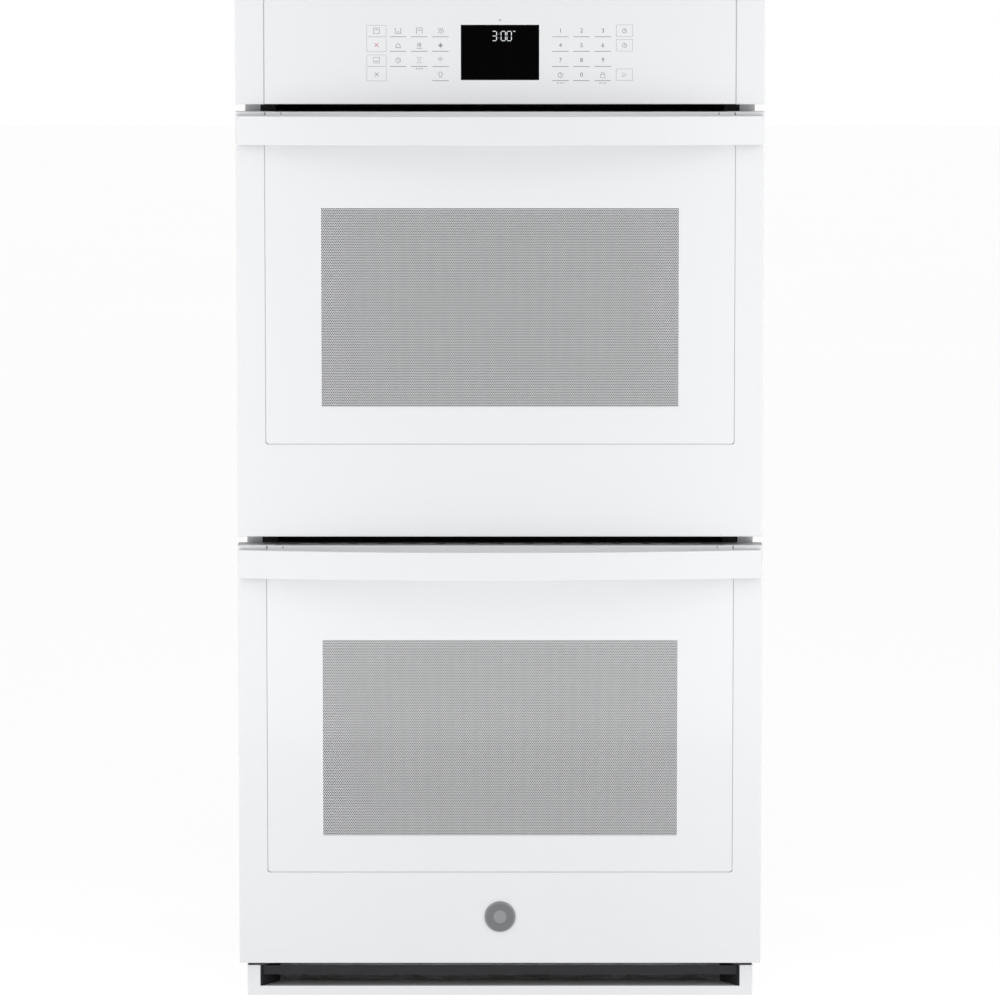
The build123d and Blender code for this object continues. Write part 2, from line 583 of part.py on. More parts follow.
def make_rack():
    """Wire rack: bent frame, three cross bars and a row of grid wires."""
    half = CAVITY_WIDTH / 2 - RACK_SIDE_GAP - RACK_WIRE
    front = FACE + RACK_SETBACK + RACK_WIRE
    back = front + RACK_LENGTH
    with BuildPart() as rack:
        with BuildLine() as path:
            FilletPolyline((0, front), (half, front), (half, back), (0, back), radius=RACK_CORNER)
        with BuildSketch(Plane(origin=path.line @ 0, z_dir=path.line % 0)):
            Circle(RACK_WIRE)
        sweep()
        mirror(about=Plane.YZ)
        for share in (0.25, 0.5, 0.75):
            rod(0, front + share * RACK_LENGTH, -CROSS_DROP, CROSS_WIRE, 2 * half, "X")
        outer = half - RACK_CORNER - 2 * GRID_WIRE
        count = 2 * round(outer / GRID_SPACING + 0.5)
        pitch = 2 * outer / (count - 1)
        for step in range(count):
            rod(-outer + step * pitch, (front + back) / 2, GRID_RISE, GRID_WIRE, RACK_LENGTH, "Y")
    return rack.part


def racks():
    """Two racks in each oven, each just above its pair of guides."""
    rack = make_rack()
    for oven, level in DOOR_LEVELS.items():
        for place, step in RACK_LEVELS.items():
            guide = level + CAVITY_SILL + GUIDE_FIRST + step * GUIDE_PITCH + GUIDE_HEIGHT
            save(rack.moved(Location((0, 0, guide + FIT + RACK_WIRE))), f"{oven}_rack_{place}")


# ---------------------------------------------------------------- doors
def door_skin(name, level):
    """Painted door shell with returns, and a recess that carries the glass."""
    top = level + DOOR_HEIGHT
    half_glass = GLASS_WIDTH / 2 + SEAM
    recess_back = FRONT + GLASS_INSET + GLASS + FIT
    with BuildPart() as skin:
        with BuildSketch(facing(FRONT)):
            with Locations((0, level + DOOR_HEIGHT / 2)):
                Rectangle(WIDTH, DOOR_HEIGHT)
        extrude(amount=-SKIN_DEPTH)
        fillet(skin.faces().sort_by(Axis.Y)[0].edges(), DOOR_EDGE)
        hollow = (FRONT + SKIN, FRONT + SKIN_DEPTH + 1)
        block((-HALF + SKIN, HALF - SKIN), hollow, (level + SKIN, top - SKIN), Mode.SUBTRACT)
        below = level + GLASS_BOTTOM - SEAM
        tray = (FRONT + SKIN / 2, recess_back + SKIN)
        block((-half_glass - SKIN, half_glass + SKIN), tray, (below - SKIN, top - SKIN / 2))
        with BuildSketch(facing(FRONT - 1)):
            with Locations((0, (below + top) / 2 + 10)):
                Rectangle(2 * half_glass, top - below + 20)
                fillet_these = [v for v in vertices() if v.Z < below + 1]
                fillet(fillet_these, GLASS_CORNER)
        extrude(amount=-(recess_back - FRONT + 1), mode=Mode.SUBTRACT)
        through = (FRONT - 1, FRONT + SKIN_DEPTH + 1)
        inner = half_glass - LEDGE
        block((-inner, inner), through, (below + LEDGE, top + 1), Mode.SUBTRACT)
        lip = (FRONT + LIP_DEPTH, FRONT + SKIN_DEPTH + 1)
        block((-HALF + SKIN, HALF - SKIN), lip, (level - 1, level + 2 * SKIN), Mode.SUBTRACT)
        for side in SIDES:
            arm = span(side, CHANNEL_IN, CHANNEL_OUT)
            block(arm, (FRONT + 7, FRONT + SKIN_DEPTH), (level - 1, level + 2 * SKIN), Mode.SUBTRACT)
    save(skin.part, name)


def door_glass(name, level):
    """Outer glass sheet, rounded at its two lower corners."""
    low = level + GLASS_BOTTOM
    face = FRONT + GLASS_INSET
    with BuildPart() as glass:
        block((-GLASS_WIDTH / 2, GLASS_WIDTH / 2), (face, face + GLASS), (low, level + DOOR_HEIGHT - 0.4))
        fillet(glass.edges().filter_by(Axis.Y).group_by(Axis.Z)[0], GLASS_CORNER - SEAM)
        chamfer(glass.faces().sort_by(Axis.Y)[0].edges(), 0.4)
    save(glass.part, name)


def top_cap(name, level):
    """Channel along the door's upper edge, slotted to let warm air out."""
    top = level + DOOR_HEIGHT - 0.3
    half = GLASS_WIDTH / 2 + SEAM - LEDGE - FIT
    front = FRONT + GLASS_INSET + GLASS + FIT
    back = FRONT + DOOR_BACK - LINER - FIT
    with BuildPart() as cap:
        block((-half, half), (front, back), (top - CAP_HEIGHT, top))
        inner = (front + SKIN, back - SKIN)
        block((-half - 1, half + 1), inner, (top - CAP_HEIGHT - 1, top - SKIN), Mode.SUBTRACT)
        with BuildSketch(Plane.XY.offset(top)):
            with Locations((0, (front + back) / 2)):
                with GridLocations(CAP_PITCH, 0, CAP_SLOTS, 1):
                    SlotOverall(CAP_SLOT, 5)
        extrude(amount=-3 * SKIN, mode=Mode.SUBTRACT)
    save(cap.part, name)


def door_liner(name, level):
    """Enamelled inner panel with a rim, a window box and slots for arms and latch."""
    low = level + LINER_BOTTOM
    top = level + DOOR_HEIGHT - 2.5
    half = HALF - SKIN - SEAM
    back = FRONT + DOOR_BACK
    plate = (back - LINER, back)
    middle = level + WINDOW_MIDDLE
    wide = WINDOW_WIDTH / 2 + PANE_MARGIN
    tall = WINDOW_HEIGHT / 2 + PANE_MARGIN
    with BuildPart() as liner:
        block((-half, half), (back - LINER_WALL, back), (low, top))
        fillet(liner.edges().filter_by(Axis.Y), 6.0)
        rim = (back - LINER_WALL - 1, back - LINER)
        block((-half + LINER, half - LINER), rim, (low - 1, top - LINER), Mode.SUBTRACT)
        cap = GLASS_WIDTH / 2 + SEAM - LEDGE
        block((-cap, cap), rim, (top - 2 * LINER, top + 1), Mode.SUBTRACT)
        ring = (FRONT + WINDOW_BOX, back - LINER)
        block((-wide - LINER, wide + LINER), ring, (middle - tall - LINER, middle + tall + LINER))
        block((-wide, wide), ring, (middle - tall, middle + tall), Mode.SUBTRACT)
        with BuildSketch(facing(back + 1)):
            with Locations((0, middle)):
                RectangleRounded(WINDOW_WIDTH, WINDOW_HEIGHT, WINDOW_CORNER)
        extrude(amount=3 + LINER, mode=Mode.SUBTRACT)
        pin = level + PIN_UP
        for side in SIDES:
            arm = span(side, CHANNEL_IN, CHANNEL_OUT)
            block(arm, (plate[0] - 20, back + 1), (low - 1, pin + ARM_HEIGHT / 2 + 2), Mode.SUBTRACT)
        latch = level + LATCH_UP
        catch = (latch - SLOT_RISE, latch + SLOT_RISE)
        block(LATCH_SLOT, (plate[0] - 1, back + 1), catch, Mode.SUBTRACT)
    save(liner.part, name)


def middle_panes(name, level):
    """Two heat reflecting panes inside the liner's window box."""
    middle = level + WINDOW_MIDDLE
    wide = WINDOW_WIDTH / 2 + PANE_MARGIN - FIT
    tall = WINDOW_HEIGHT / 2 + PANE_MARGIN - FIT
    with BuildPart() as panes:
        for back in PANE_PLACES:
            y = (FRONT + back, FRONT + back + MIDDLE_PANE)
            block((-wide, wide), y, (middle - tall, middle + tall))
    save(panes.part, name)


def inner_pane(name, level):
    """Inner window pane, seated on the back of the liner."""
    middle = level + WINDOW_MIDDLE
    wide = WINDOW_WIDTH / 2 + PANE_MARGIN / 2
    tall = WINDOW_HEIGHT / 2 + PANE_MARGIN / 2
    back = FRONT + DOOR_BACK - LINER
    with BuildPart() as pane:
        block((-wide, wide), (back - INNER_PANE, back), (middle - tall, middle + tall))
    save(pane.part, name)


def door_insulation(name, level):
    """Wool blanket between skin and liner, around the window box."""
    middle = level + WINDOW_MIDDLE
    wide = WINDOW_WIDTH / 2 + PANE_MARGIN + LINER + FIT
    tall = WINDOW_HEIGHT / 2 + PANE_MARGIN + LINER + FIT
    half = CHANNEL_IN - 3
    back = FRONT + DOOR_BACK - LINER
    with BuildPart() as wool:
        block((-half, half), (FRONT + 20, back), (level + 36, level + LATCH_UP - 8))
        block((-wide, wide), (FRONT + 19, back + 1), (middle - tall, middle + tall), Mode.SUBTRACT)
    save(wool.part, name)


def hinge_channels(name, level):
    """Two U channels in the door, bored for the hinge pins."""
    pin = level + PIN_UP
    with BuildPart() as channels:
        for side in SIDES:
            low = level + 6
            y = (FRONT + CHANNEL_FRONT, FRONT + SKIN_DEPTH)
            block(span(side, CHANNEL_IN, CHANNEL_OUT), y, (low, low + CHANNEL_HEIGHT))
            inner = span(side, CHANNEL_IN + CHANNEL_WALL, CHANNEL_OUT - CHANNEL_WALL)
            open_y = (y[0] + CHANNEL_WALL, y[1] + 1)
            block(inner, open_y, (low - 1, low + CHANNEL_HEIGHT + 1), Mode.SUBTRACT)
            rod(side * ARM_X, PIN_Y, pin, PIN_RADIUS + RUNNING, 30, "X", Mode.SUBTRACT)
    save(channels.part, name)


def handle(name, level):
    """Full width bowed strap with end returns and two brackets."""
    top = level + DOOR_HEIGHT - HANDLE_DROP
    reach = HALF - HANDLE_SETBACK
    inner_reach = reach - 2
    inner_end = handle_proud(inner_reach) - HANDLE_THICK
    with BuildPart() as strap:
        with BuildSketch(Plane.XY.offset(top - HANDLE_HEIGHT)):
            with BuildLine():
                Line((-reach, FRONT), (-reach, FRONT - HANDLE_END_PROUD))
                ThreePointArc(
                    (-reach, FRONT - HANDLE_END_PROUD),
                    (0, FRONT - HANDLE_PROUD),
                    (reach, FRONT - HANDLE_END_PROUD),
                )
                Polyline(
                    (reach, FRONT - HANDLE_END_PROUD),
                    (reach, FRONT),
                    (inner_reach, FRONT),
                    (inner_reach, FRONT - inner_end),
                )
                ThreePointArc(
                    (inner_reach, FRONT - inner_end),
                    (0, FRONT - HANDLE_PROUD + HANDLE_THICK),
                    (-inner_reach, FRONT - inner_end),
                )
                Polyline((-inner_reach, FRONT - inner_end), (-inner_reach, FRONT), (-reach, FRONT))
            make_face()
        extrude(amount=HANDLE_HEIGHT)
        fillet(strap.edges().filter_by(GeomType.CIRCLE).sort_by(Axis.Y)[:2], 1.0)
        for side in SIDES:
            with BuildSketch(Plane.XY.offset(top - HANDLE_HEIGHT + BRACKET_INSET)):
                with BuildLine():
                    Polyline(
                        (side * BRACKET_IN, FRONT),
                        (side * BRACKET_IN, FRONT - handle_proud(BRACKET_IN) + HANDLE_THICK / 2),
                        (side * BRACKET_OUT, FRONT - handle_proud(BRACKET_OUT) + HANDLE_THICK / 2),
                        (side * BRACKET_OUT, FRONT),
                        close=True,
                    )
                make_face()
            extrude(amount=HANDLE_HEIGHT - 2 * BRACKET_INSET)
    save(strap.part, name)


def badge():
    """Plain round plate on the lower door."""
    height = DOOR_LEVELS["lower"] + BADGE_UP
    with BuildPart() as disc:
        with BuildSketch(facing(FRONT)):
            with Locations((0, height)):
                Circle(BADGE_RADIUS)
        extrude(amount=BADGE_THICK)
        fillet(disc.faces().sort_by(Axis.Y)[0].edges(), 0.6)
    save(disc.part, "badge")


# ---------------------------------------------------------------- hinges and latches on the casing
def hinge_arms():
    """Four hinge receivers, each holding a forward arm with its cross pin."""
    with BuildPart() as arms:
        for level in DOOR_LEVELS.values():
            pin = level + PIN_UP
            for side in SIDES:
                outer = span(side, CHANNEL_IN, CHANNEL_OUT)
                y = (FRAME_BACK, FRAME_BACK + RECEIVER_LENGTH)
                half = RECEIVER_HEIGHT / 2
                block(outer, y, (pin - half, pin + half))
                arm = span(side, ARM_X - ARM_THICK / 2, ARM_X + ARM_THICK / 2)
                block(arm, (PIN_Y, FRAME_BACK + 2), (pin - ARM_HEIGHT / 2, pin + ARM_HEIGHT / 2))
                rod(side * ARM_X, PIN_Y, pin, ARM_HEIGHT / 2, ARM_THICK, "X")
                rod(side * ARM_X, PIN_Y, pin, PIN_RADIUS, CHANNEL_OUT - CHANNEL_IN + 1, "X")
    save(arms.part, "hinge_arms")


def latch_motors():
    """Two latch drives with their pivot posts, one above each mouth."""
    pivot = FACE + LATCH_PIVOT
    with BuildPart() as motors:
        for level in DOOR_LEVELS.values():
            plane = level + LATCH_UP - LATCH_THICK / 2 - FIT
            block((-26, 26), (FACE + 14, FACE + 74), (plane - 8, plane))
            rod(0, pivot, plane + 4, LATCH_POST, 8, "Z")
    save(motors.part, "latch_motors")


def latch(name, level):
    """Flat hook that turns on its post and catches behind the door liner."""
    low = level + LATCH_UP - LATCH_THICK / 2
    pivot = FACE + LATCH_PIVOT
    tip = FRONT + LATCH_TIP
    half = LATCH_WIDTH / 2
    with BuildPart() as hook:
        with BuildSketch(Plane.XY.offset(low)):
            with BuildLine():
                Polyline(
                    (-half, pivot),
                    (-half, tip),
                    (half, tip),
                    (half + LATCH_LUG, tip + 5),
                    (half, tip + 5),
                    (half, pivot),
                    close=True,
                )
            make_face()
            with Locations((0, pivot)):
                Circle(LATCH_BOSS)
                Circle(LATCH_POST + RUNNING, mode=Mode.SUBTRACT)
        extrude(amount=LATCH_THICK)
    save(hook.part, name)


# ---------------------------------------------------------------- control panel and compartment
def panel_end_caps():
    """Two end caps of the control panel, open behind."""
    inner = GLASS_WIDTH / 2 + SEAM
    with BuildPart() as caps:
        for side in SIDES:
            block(span(side, inner, HALF), (FRONT, FRONT + PANEL_BACK), (PANEL_BOTTOM, HEIGHT))
        front_edges = caps.faces().group_by(Axis.Y)[0].edges()
        fillet(front_edges, DOOR_EDGE)
        for side in SIDES:
            x = span(side, inner + END_WALL, HALF - END_WALL)
            y = (FRONT + END_WALL, FRONT + PANEL_BACK + 1)
            block(x, y, (PANEL_BOTTOM + END_WALL, HEIGHT - END_WALL), Mode.SUBTRACT)
    save(caps.part, "panel_end_caps")


def control_glass():
    """Touch glass of the control panel."""
    face = FRONT + GLASS_INSET
    half = GLASS_WIDTH / 2
    with BuildPart() as glass:
        block((-half, half), (face, face + GLASS), (PANEL_BOTTOM + 0.4, HEIGHT - PANEL_GLASS_DROP))
        chamfer(glass.faces().sort_by(Axis.Y)[0].edges(), 0.4)
    save(glass.part, "control_glass")


def control_housing():
    """Folded tray behind the touch glass, open to the rear, with a display cut-out."""
    front = FRONT + GLASS_INSET + GLASS + FIT
    back = FACE - TRIM
    half = GLASS_WIDTH / 2
    low = PANEL_BOTTOM + 1
    high = HEIGHT - PANEL_GLASS_DROP - 1
    middle = (PANEL_BOTTOM + HEIGHT) / 2
    with BuildPart() as tray:
        block((-half, half), (front, back), (low, high))
        block((-half - 1, half + 1), (front + SHEET, back + 1), (low + SHEET, high - SHEET), Mode.SUBTRACT)
        for side in SIDES:
            block(span(side, half - SHEET, half), (front, back), (low, high))
        wide = DISPLAY_WIDTH / 2 + FIT
        tall = DISPLAY_HEIGHT / 2 + FIT
        block((-wide, wide), (front - 1, front + 3), (middle - tall, middle + tall), Mode.SUBTRACT)
    save(tray.part, "control_housing")


def display_module():
    """Display unit seated in the tray's cut-out, against the glass."""
    front = FRONT + GLASS_INSET + GLASS
    middle = (PANEL_BOTTOM + HEIGHT) / 2
    wide = DISPLAY_WIDTH / 2
    tall = DISPLAY_HEIGHT / 2
    with BuildPart() as unit:
        block((-wide, wide), (front, front + DISPLAY_DEPTH), (middle - tall, middle + tall))
        rim = (front + SHEET + FIT, front + SHEET + FIT + 2)
        block((-wide - 4, wide + 4), rim, (middle - tall - 4, middle + tall + 4))
    save(unit.part, "display_module")


def control_boards():
    """Power board on the deck and interface board behind the display."""
    board = 1.6
    relay = 18
    front = FRONT + GLASS_INSET + GLASS + DISPLAY_DEPTH
    middle = (PANEL_BOTTOM + HEIGHT) / 2
    base = DECK + BOARD_UP
    top = base + board
    right = BODY_WIDTH / 2 - BOARD_SIDE
    left = right - BOARD[0]
    near = FACE + BOARD_FRONT
    far = near + BOARD[1]
    with BuildPart() as boards:
        block((-95, 95), (front, front + board), (middle - 45, middle + 45))
        block((-80, -56), (front + board, front + board + 12), (middle - 30, middle + 30))
        block((left, right), (near, far), (base, top))
        for x in (left + 10, right - 10):
            for y in (near + 10, far - 10):
                rod(x, y, (DECK + base) / 2, 3, base - DECK, "Z")
        for step in range(5):
            x = left + 20 + step * 30
            block((x, x + relay), (near + 30, near + 58), (top, top + 20))
        rod(left + 40, near + 110, top + 15, 11, 30, "Z")
        block((left + 80, left + 160), (near + 90, near + 135), (top, top + 26))
    save(boards.part, "control_boards")


def blower_housing():
    """Round can on the deck with an inlet in its lid and a bar for the motor."""
    roof = DECK + BLOWER_HEIGHT
    with BuildPart() as can:
        with BuildSketch(Plane.XY.offset(DECK)):
            with Locations((0, BLOWER_Y)):
                Circle(BLOWER_RADIUS + BLOWER_FLANGE)
        extrude(amount=SHEET)
        with BuildSketch(Plane.XY.offset(DECK)):
            with Locations((0, BLOWER_Y)):
                Circle(BLOWER_RADIUS)
        extrude(amount=BLOWER_HEIGHT)
        rod(0, BLOWER_Y, (DECK + roof - SHEET) / 2 - 1, BLOWER_RADIUS - SHEET, BLOWER_HEIGHT - SHEET + 2, "Z",
            Mode.SUBTRACT)
        rod(0, BLOWER_Y, roof, INLET_RADIUS, 4 * SHEET, "Z", Mode.SUBTRACT)
        bridge = INLET_RADIUS + 12
        block((-bridge, bridge), (BLOWER_Y - 9, BLOWER_Y + 9), (roof - SHEET, roof + SHEET))
        rod(0, BLOWER_Y, roof, SHAFT_RADIUS + 1.5, 6 * SHEET, "Z", Mode.SUBTRACT)
    save(can.part, "blower_housing")


def blower_motor():
    """Motor on the can's bar, with its shaft pointing down."""
    seat = DECK + BLOWER_HEIGHT + SHEET
    shaft_end = DECK + 22
    with BuildPart() as motor:
        rod(0, BLOWER_Y, seat + MOTOR_HEIGHT / 2, MOTOR_RADIUS, MOTOR_HEIGHT, "Z")
        fillet(motor.edges().filter_by(GeomType.CIRCLE).sort_by(Axis.Z)[-1], 4)
        rod(0, BLOWER_Y, (seat + shaft_end) / 2, SHAFT_RADIUS, seat - shaft_end, "Z")
    save(motor.part, "blower_motor")


def blower_wheel():
    """Squirrel cage wheel: disc, hub, ring and a circle of blades."""
    low = DECK + WHEEL_LOW
    high = low + WHEEL_HEIGHT
    with BuildPart() as wheel:
        with BuildSketch(Plane.XY.offset(low)):
            with Locations((0, BLOWER_Y)):
                Circle(WHEEL_RADIUS)
        extrude(amount=2)
        with BuildSketch(Plane.XY.offset(high - 4)):
            with Locations((0, BLOWER_Y)):
                Circle(WHEEL_RADIUS)
                Circle(WHEEL_RADIUS - 12, mode=Mode.SUBTRACT)
        extrude(amount=4)
        with BuildSketch(Plane.XY.offset(low + 1)):
            with Locations((0, BLOWER_Y)):
                with PolarLocations(WHEEL_RADIUS - 6, BLADE_COUNT):
                    Rectangle(10, 1.2, rotation=35)
        extrude(amount=WHEEL_HEIGHT - 3)
        rod(0, BLOWER_Y, low + 14, HUB_RADIUS, 28, "Z")
        rod(0, BLOWER_Y, low + 14, SHAFT_RADIUS + RUNNING, 60, "Z", Mode.SUBTRACT)
    save(wheel.part, "blower_wheel")


def junction_box():
    """Supply box inside the rear cover, with a collar for the supply fitting."""
    height = CONDUIT_Z
    back = COVER - SHEET
    front = back - BOX_DEPTH
    with BuildPart() as box:
        wide, tall = BOX_HALF
        block((CONDUIT_X - wide, CONDUIT_X + wide), (front, back), (height - tall, height + tall))
        x = (CONDUIT_X - wide + SHEET, CONDUIT_X + wide - SHEET)
        z = (height - tall + SHEET, height + tall - SHEET)
        block(x, (front + SHEET, back - SHEET), z, Mode.SUBTRACT)
        middle = REAR - 2 - CONDUIT_LENGTH / 2
        rod(CONDUIT_X, middle, height, CONDUIT_RADIUS + CONDUIT_WALL, CONDUIT_LENGTH, "Y")
        rod(CONDUIT_X, middle, height, CONDUIT_RADIUS, CONDUIT_LENGTH + 2, "Y", Mode.SUBTRACT)
    save(box.part, "junction_box")


def main():
    """Build every piece and write it to parts/."""
    for side in SIDES:
        side_panel(side)
        side_trim(side)
    rear_cover()
    top_cover()
    base_pan()
    front_frame()
    duct("mid_duct", DOOR_LEVELS["lower"], INSIDE - SHEET - FIT, True)
    duct("top_duct", DOOR_LEVELS["upper"], INSIDE, False)
    bottom_vent_trim()
    bottom_vent_bar()
    for oven, level in DOOR_LEVELS.items():
        roof = level + CAVITY_SILL + CAVITY_HEIGHT
        under = level + CAVITY_SILL - SHEET
        cavity(f"{oven}_cavity", level)
        insulation(f"{oven}_insulation", level)
        gasket(f"{oven}_gasket", level)
        half = CAVITY_WIDTH / 2
        element(f"{oven}_broil_element", roof - BROIL_DROP, FACE + 70, CAVITY_BACK - 40, half - BROIL_SIDE)
        element(f"{oven}_bake_element", under - BAKE_DROP, FACE + 60, CAVITY_BACK - 40, half - BAKE_SIDE)
        latch(f"{oven}_latch", level)
        door_skin(f"{oven}_door_skin", level)
        door_glass(f"{oven}_door_glass", level)
        top_cap(f"{oven}_door_cap", level)
        door_liner(f"{oven}_door_liner", level)
        middle_panes(f"{oven}_middle_panes", level)
        inner_pane(f"{oven}_inner_pane", level)
        door_insulation(f"{oven}_door_insulation", level)
        hinge_channels(f"{oven}_hinge_channels", level)
        handle(f"{oven}_handle", level)
    racks()
    oven_lamps()
    temperature_probes()
    badge()
    hinge_arms()
    latch_motors()
    panel_end_caps()
    control_glass()
    control_housing()
    display_module()
    control_boards()
    blower_housing()
    blower_motor()
    blower_wheel()
    junction_box()


main()
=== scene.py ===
import json
import logging
import math
from dataclasses import dataclass
from enum import Enum
from typing import Iterable, Protocol, Sequence

import bmesh
import bpy
from mathutils import Euler, Matrix, Vector


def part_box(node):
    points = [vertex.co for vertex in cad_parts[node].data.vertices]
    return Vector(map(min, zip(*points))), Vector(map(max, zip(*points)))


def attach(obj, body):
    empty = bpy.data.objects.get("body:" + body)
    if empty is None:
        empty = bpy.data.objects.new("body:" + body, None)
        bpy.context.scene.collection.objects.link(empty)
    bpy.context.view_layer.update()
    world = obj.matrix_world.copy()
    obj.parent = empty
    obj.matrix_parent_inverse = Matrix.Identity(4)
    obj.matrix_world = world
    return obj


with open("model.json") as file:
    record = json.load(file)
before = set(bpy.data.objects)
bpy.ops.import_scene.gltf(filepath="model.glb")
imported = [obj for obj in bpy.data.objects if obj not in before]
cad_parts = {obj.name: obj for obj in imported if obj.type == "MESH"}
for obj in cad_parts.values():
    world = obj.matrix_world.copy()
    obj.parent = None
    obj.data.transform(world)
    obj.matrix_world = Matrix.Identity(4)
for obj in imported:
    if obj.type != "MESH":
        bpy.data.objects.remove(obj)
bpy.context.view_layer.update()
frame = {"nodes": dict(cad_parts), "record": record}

LOG = logging.getLogger("oven")
MM = 0.001
CASING = "casing"
OVENS = ("upper", "lower")
SIDES = (-1, 1)
Point = tuple[float, float, float]
Colour = tuple[float, float, float]
Stroke = Sequence[tuple[float, float]]
WHITE: Colour = (0.76, 0.766, 0.78)
FORWARD: Point = (0.0, -1.0, 0.0)
BACKWARD: Point = (0.0, 1.0, 0.0)
UPWARD: Point = (0.0, 0.0, 1.0)
SHEET = 1.2 * MM  # thickness of the steel sheet
PANE_LAP = 11 * MM  # how far the inner pane reaches past the window's edge


def shaded(colour: Colour, factor: float) -> Colour:
    """Colour made darker or lighter by a factor."""
    return tuple(c * factor for c in colour)


# ------------------------------------------------------------------ shader maths
class Value:
    """A shader socket that takes part in Python arithmetic."""

    def __init__(self, graph: "Graph", link: bpy.types.NodeSocket) -> None:
        """Remember the graph and the output socket."""
        self.graph = graph
        self.link = link

    def maths(self, operation: str, *others: "Value | float", first: bool = True) -> "Value":
        """Add one Math node.

        Args:
            operation: The Math node's operation.
            others: The other operands, values or numbers.
            first: Whether this value is the first operand.

        Returns:
            The node's result.
        """
        terms = (self, *others) if first else (*others, self)
        inputs = {place: term for place, term in enumerate(terms)}
        return self.graph.value("ShaderNodeMath", {"operation": operation}, inputs)

    def __add__(self, other: "Value | float") -> "Value":
        """Sum."""
        return self.maths("ADD", other)

    __radd__ = __add__

    def __sub__(self, other: "Value | float") -> "Value":
        """Difference."""
        return self.maths("SUBTRACT", other)

    def __rsub__(self, other: "Value | float") -> "Value":
        """Difference, reflected."""
        return self.maths("SUBTRACT", other, first=False)

    def __mul__(self, other: "Value | float") -> "Value":
        """Product."""
        return self.maths("MULTIPLY", other)

    __rmul__ = __mul__

    def __gt__(self, other: "Value | float") -> "Value":
        """1 where this is greater, else 0."""
        return self.maths("GREATER_THAN", other)

    def __lt__(self, other: "Value | float") -> "Value":
        """1 where this is less, else 0."""
        return self.maths("LESS_THAN", other)

    def wave(self, pitch: float) -> "Value":
        """Cosine that repeats every pitch metres."""
        return (self * (2 * math.pi / pitch)).maths("COSINE")

    def clamped(self) -> "Value":
        """This value held between 0 and 1."""
        return self.maths("MINIMUM", 1.0).maths("MAXIMUM", 0.0)


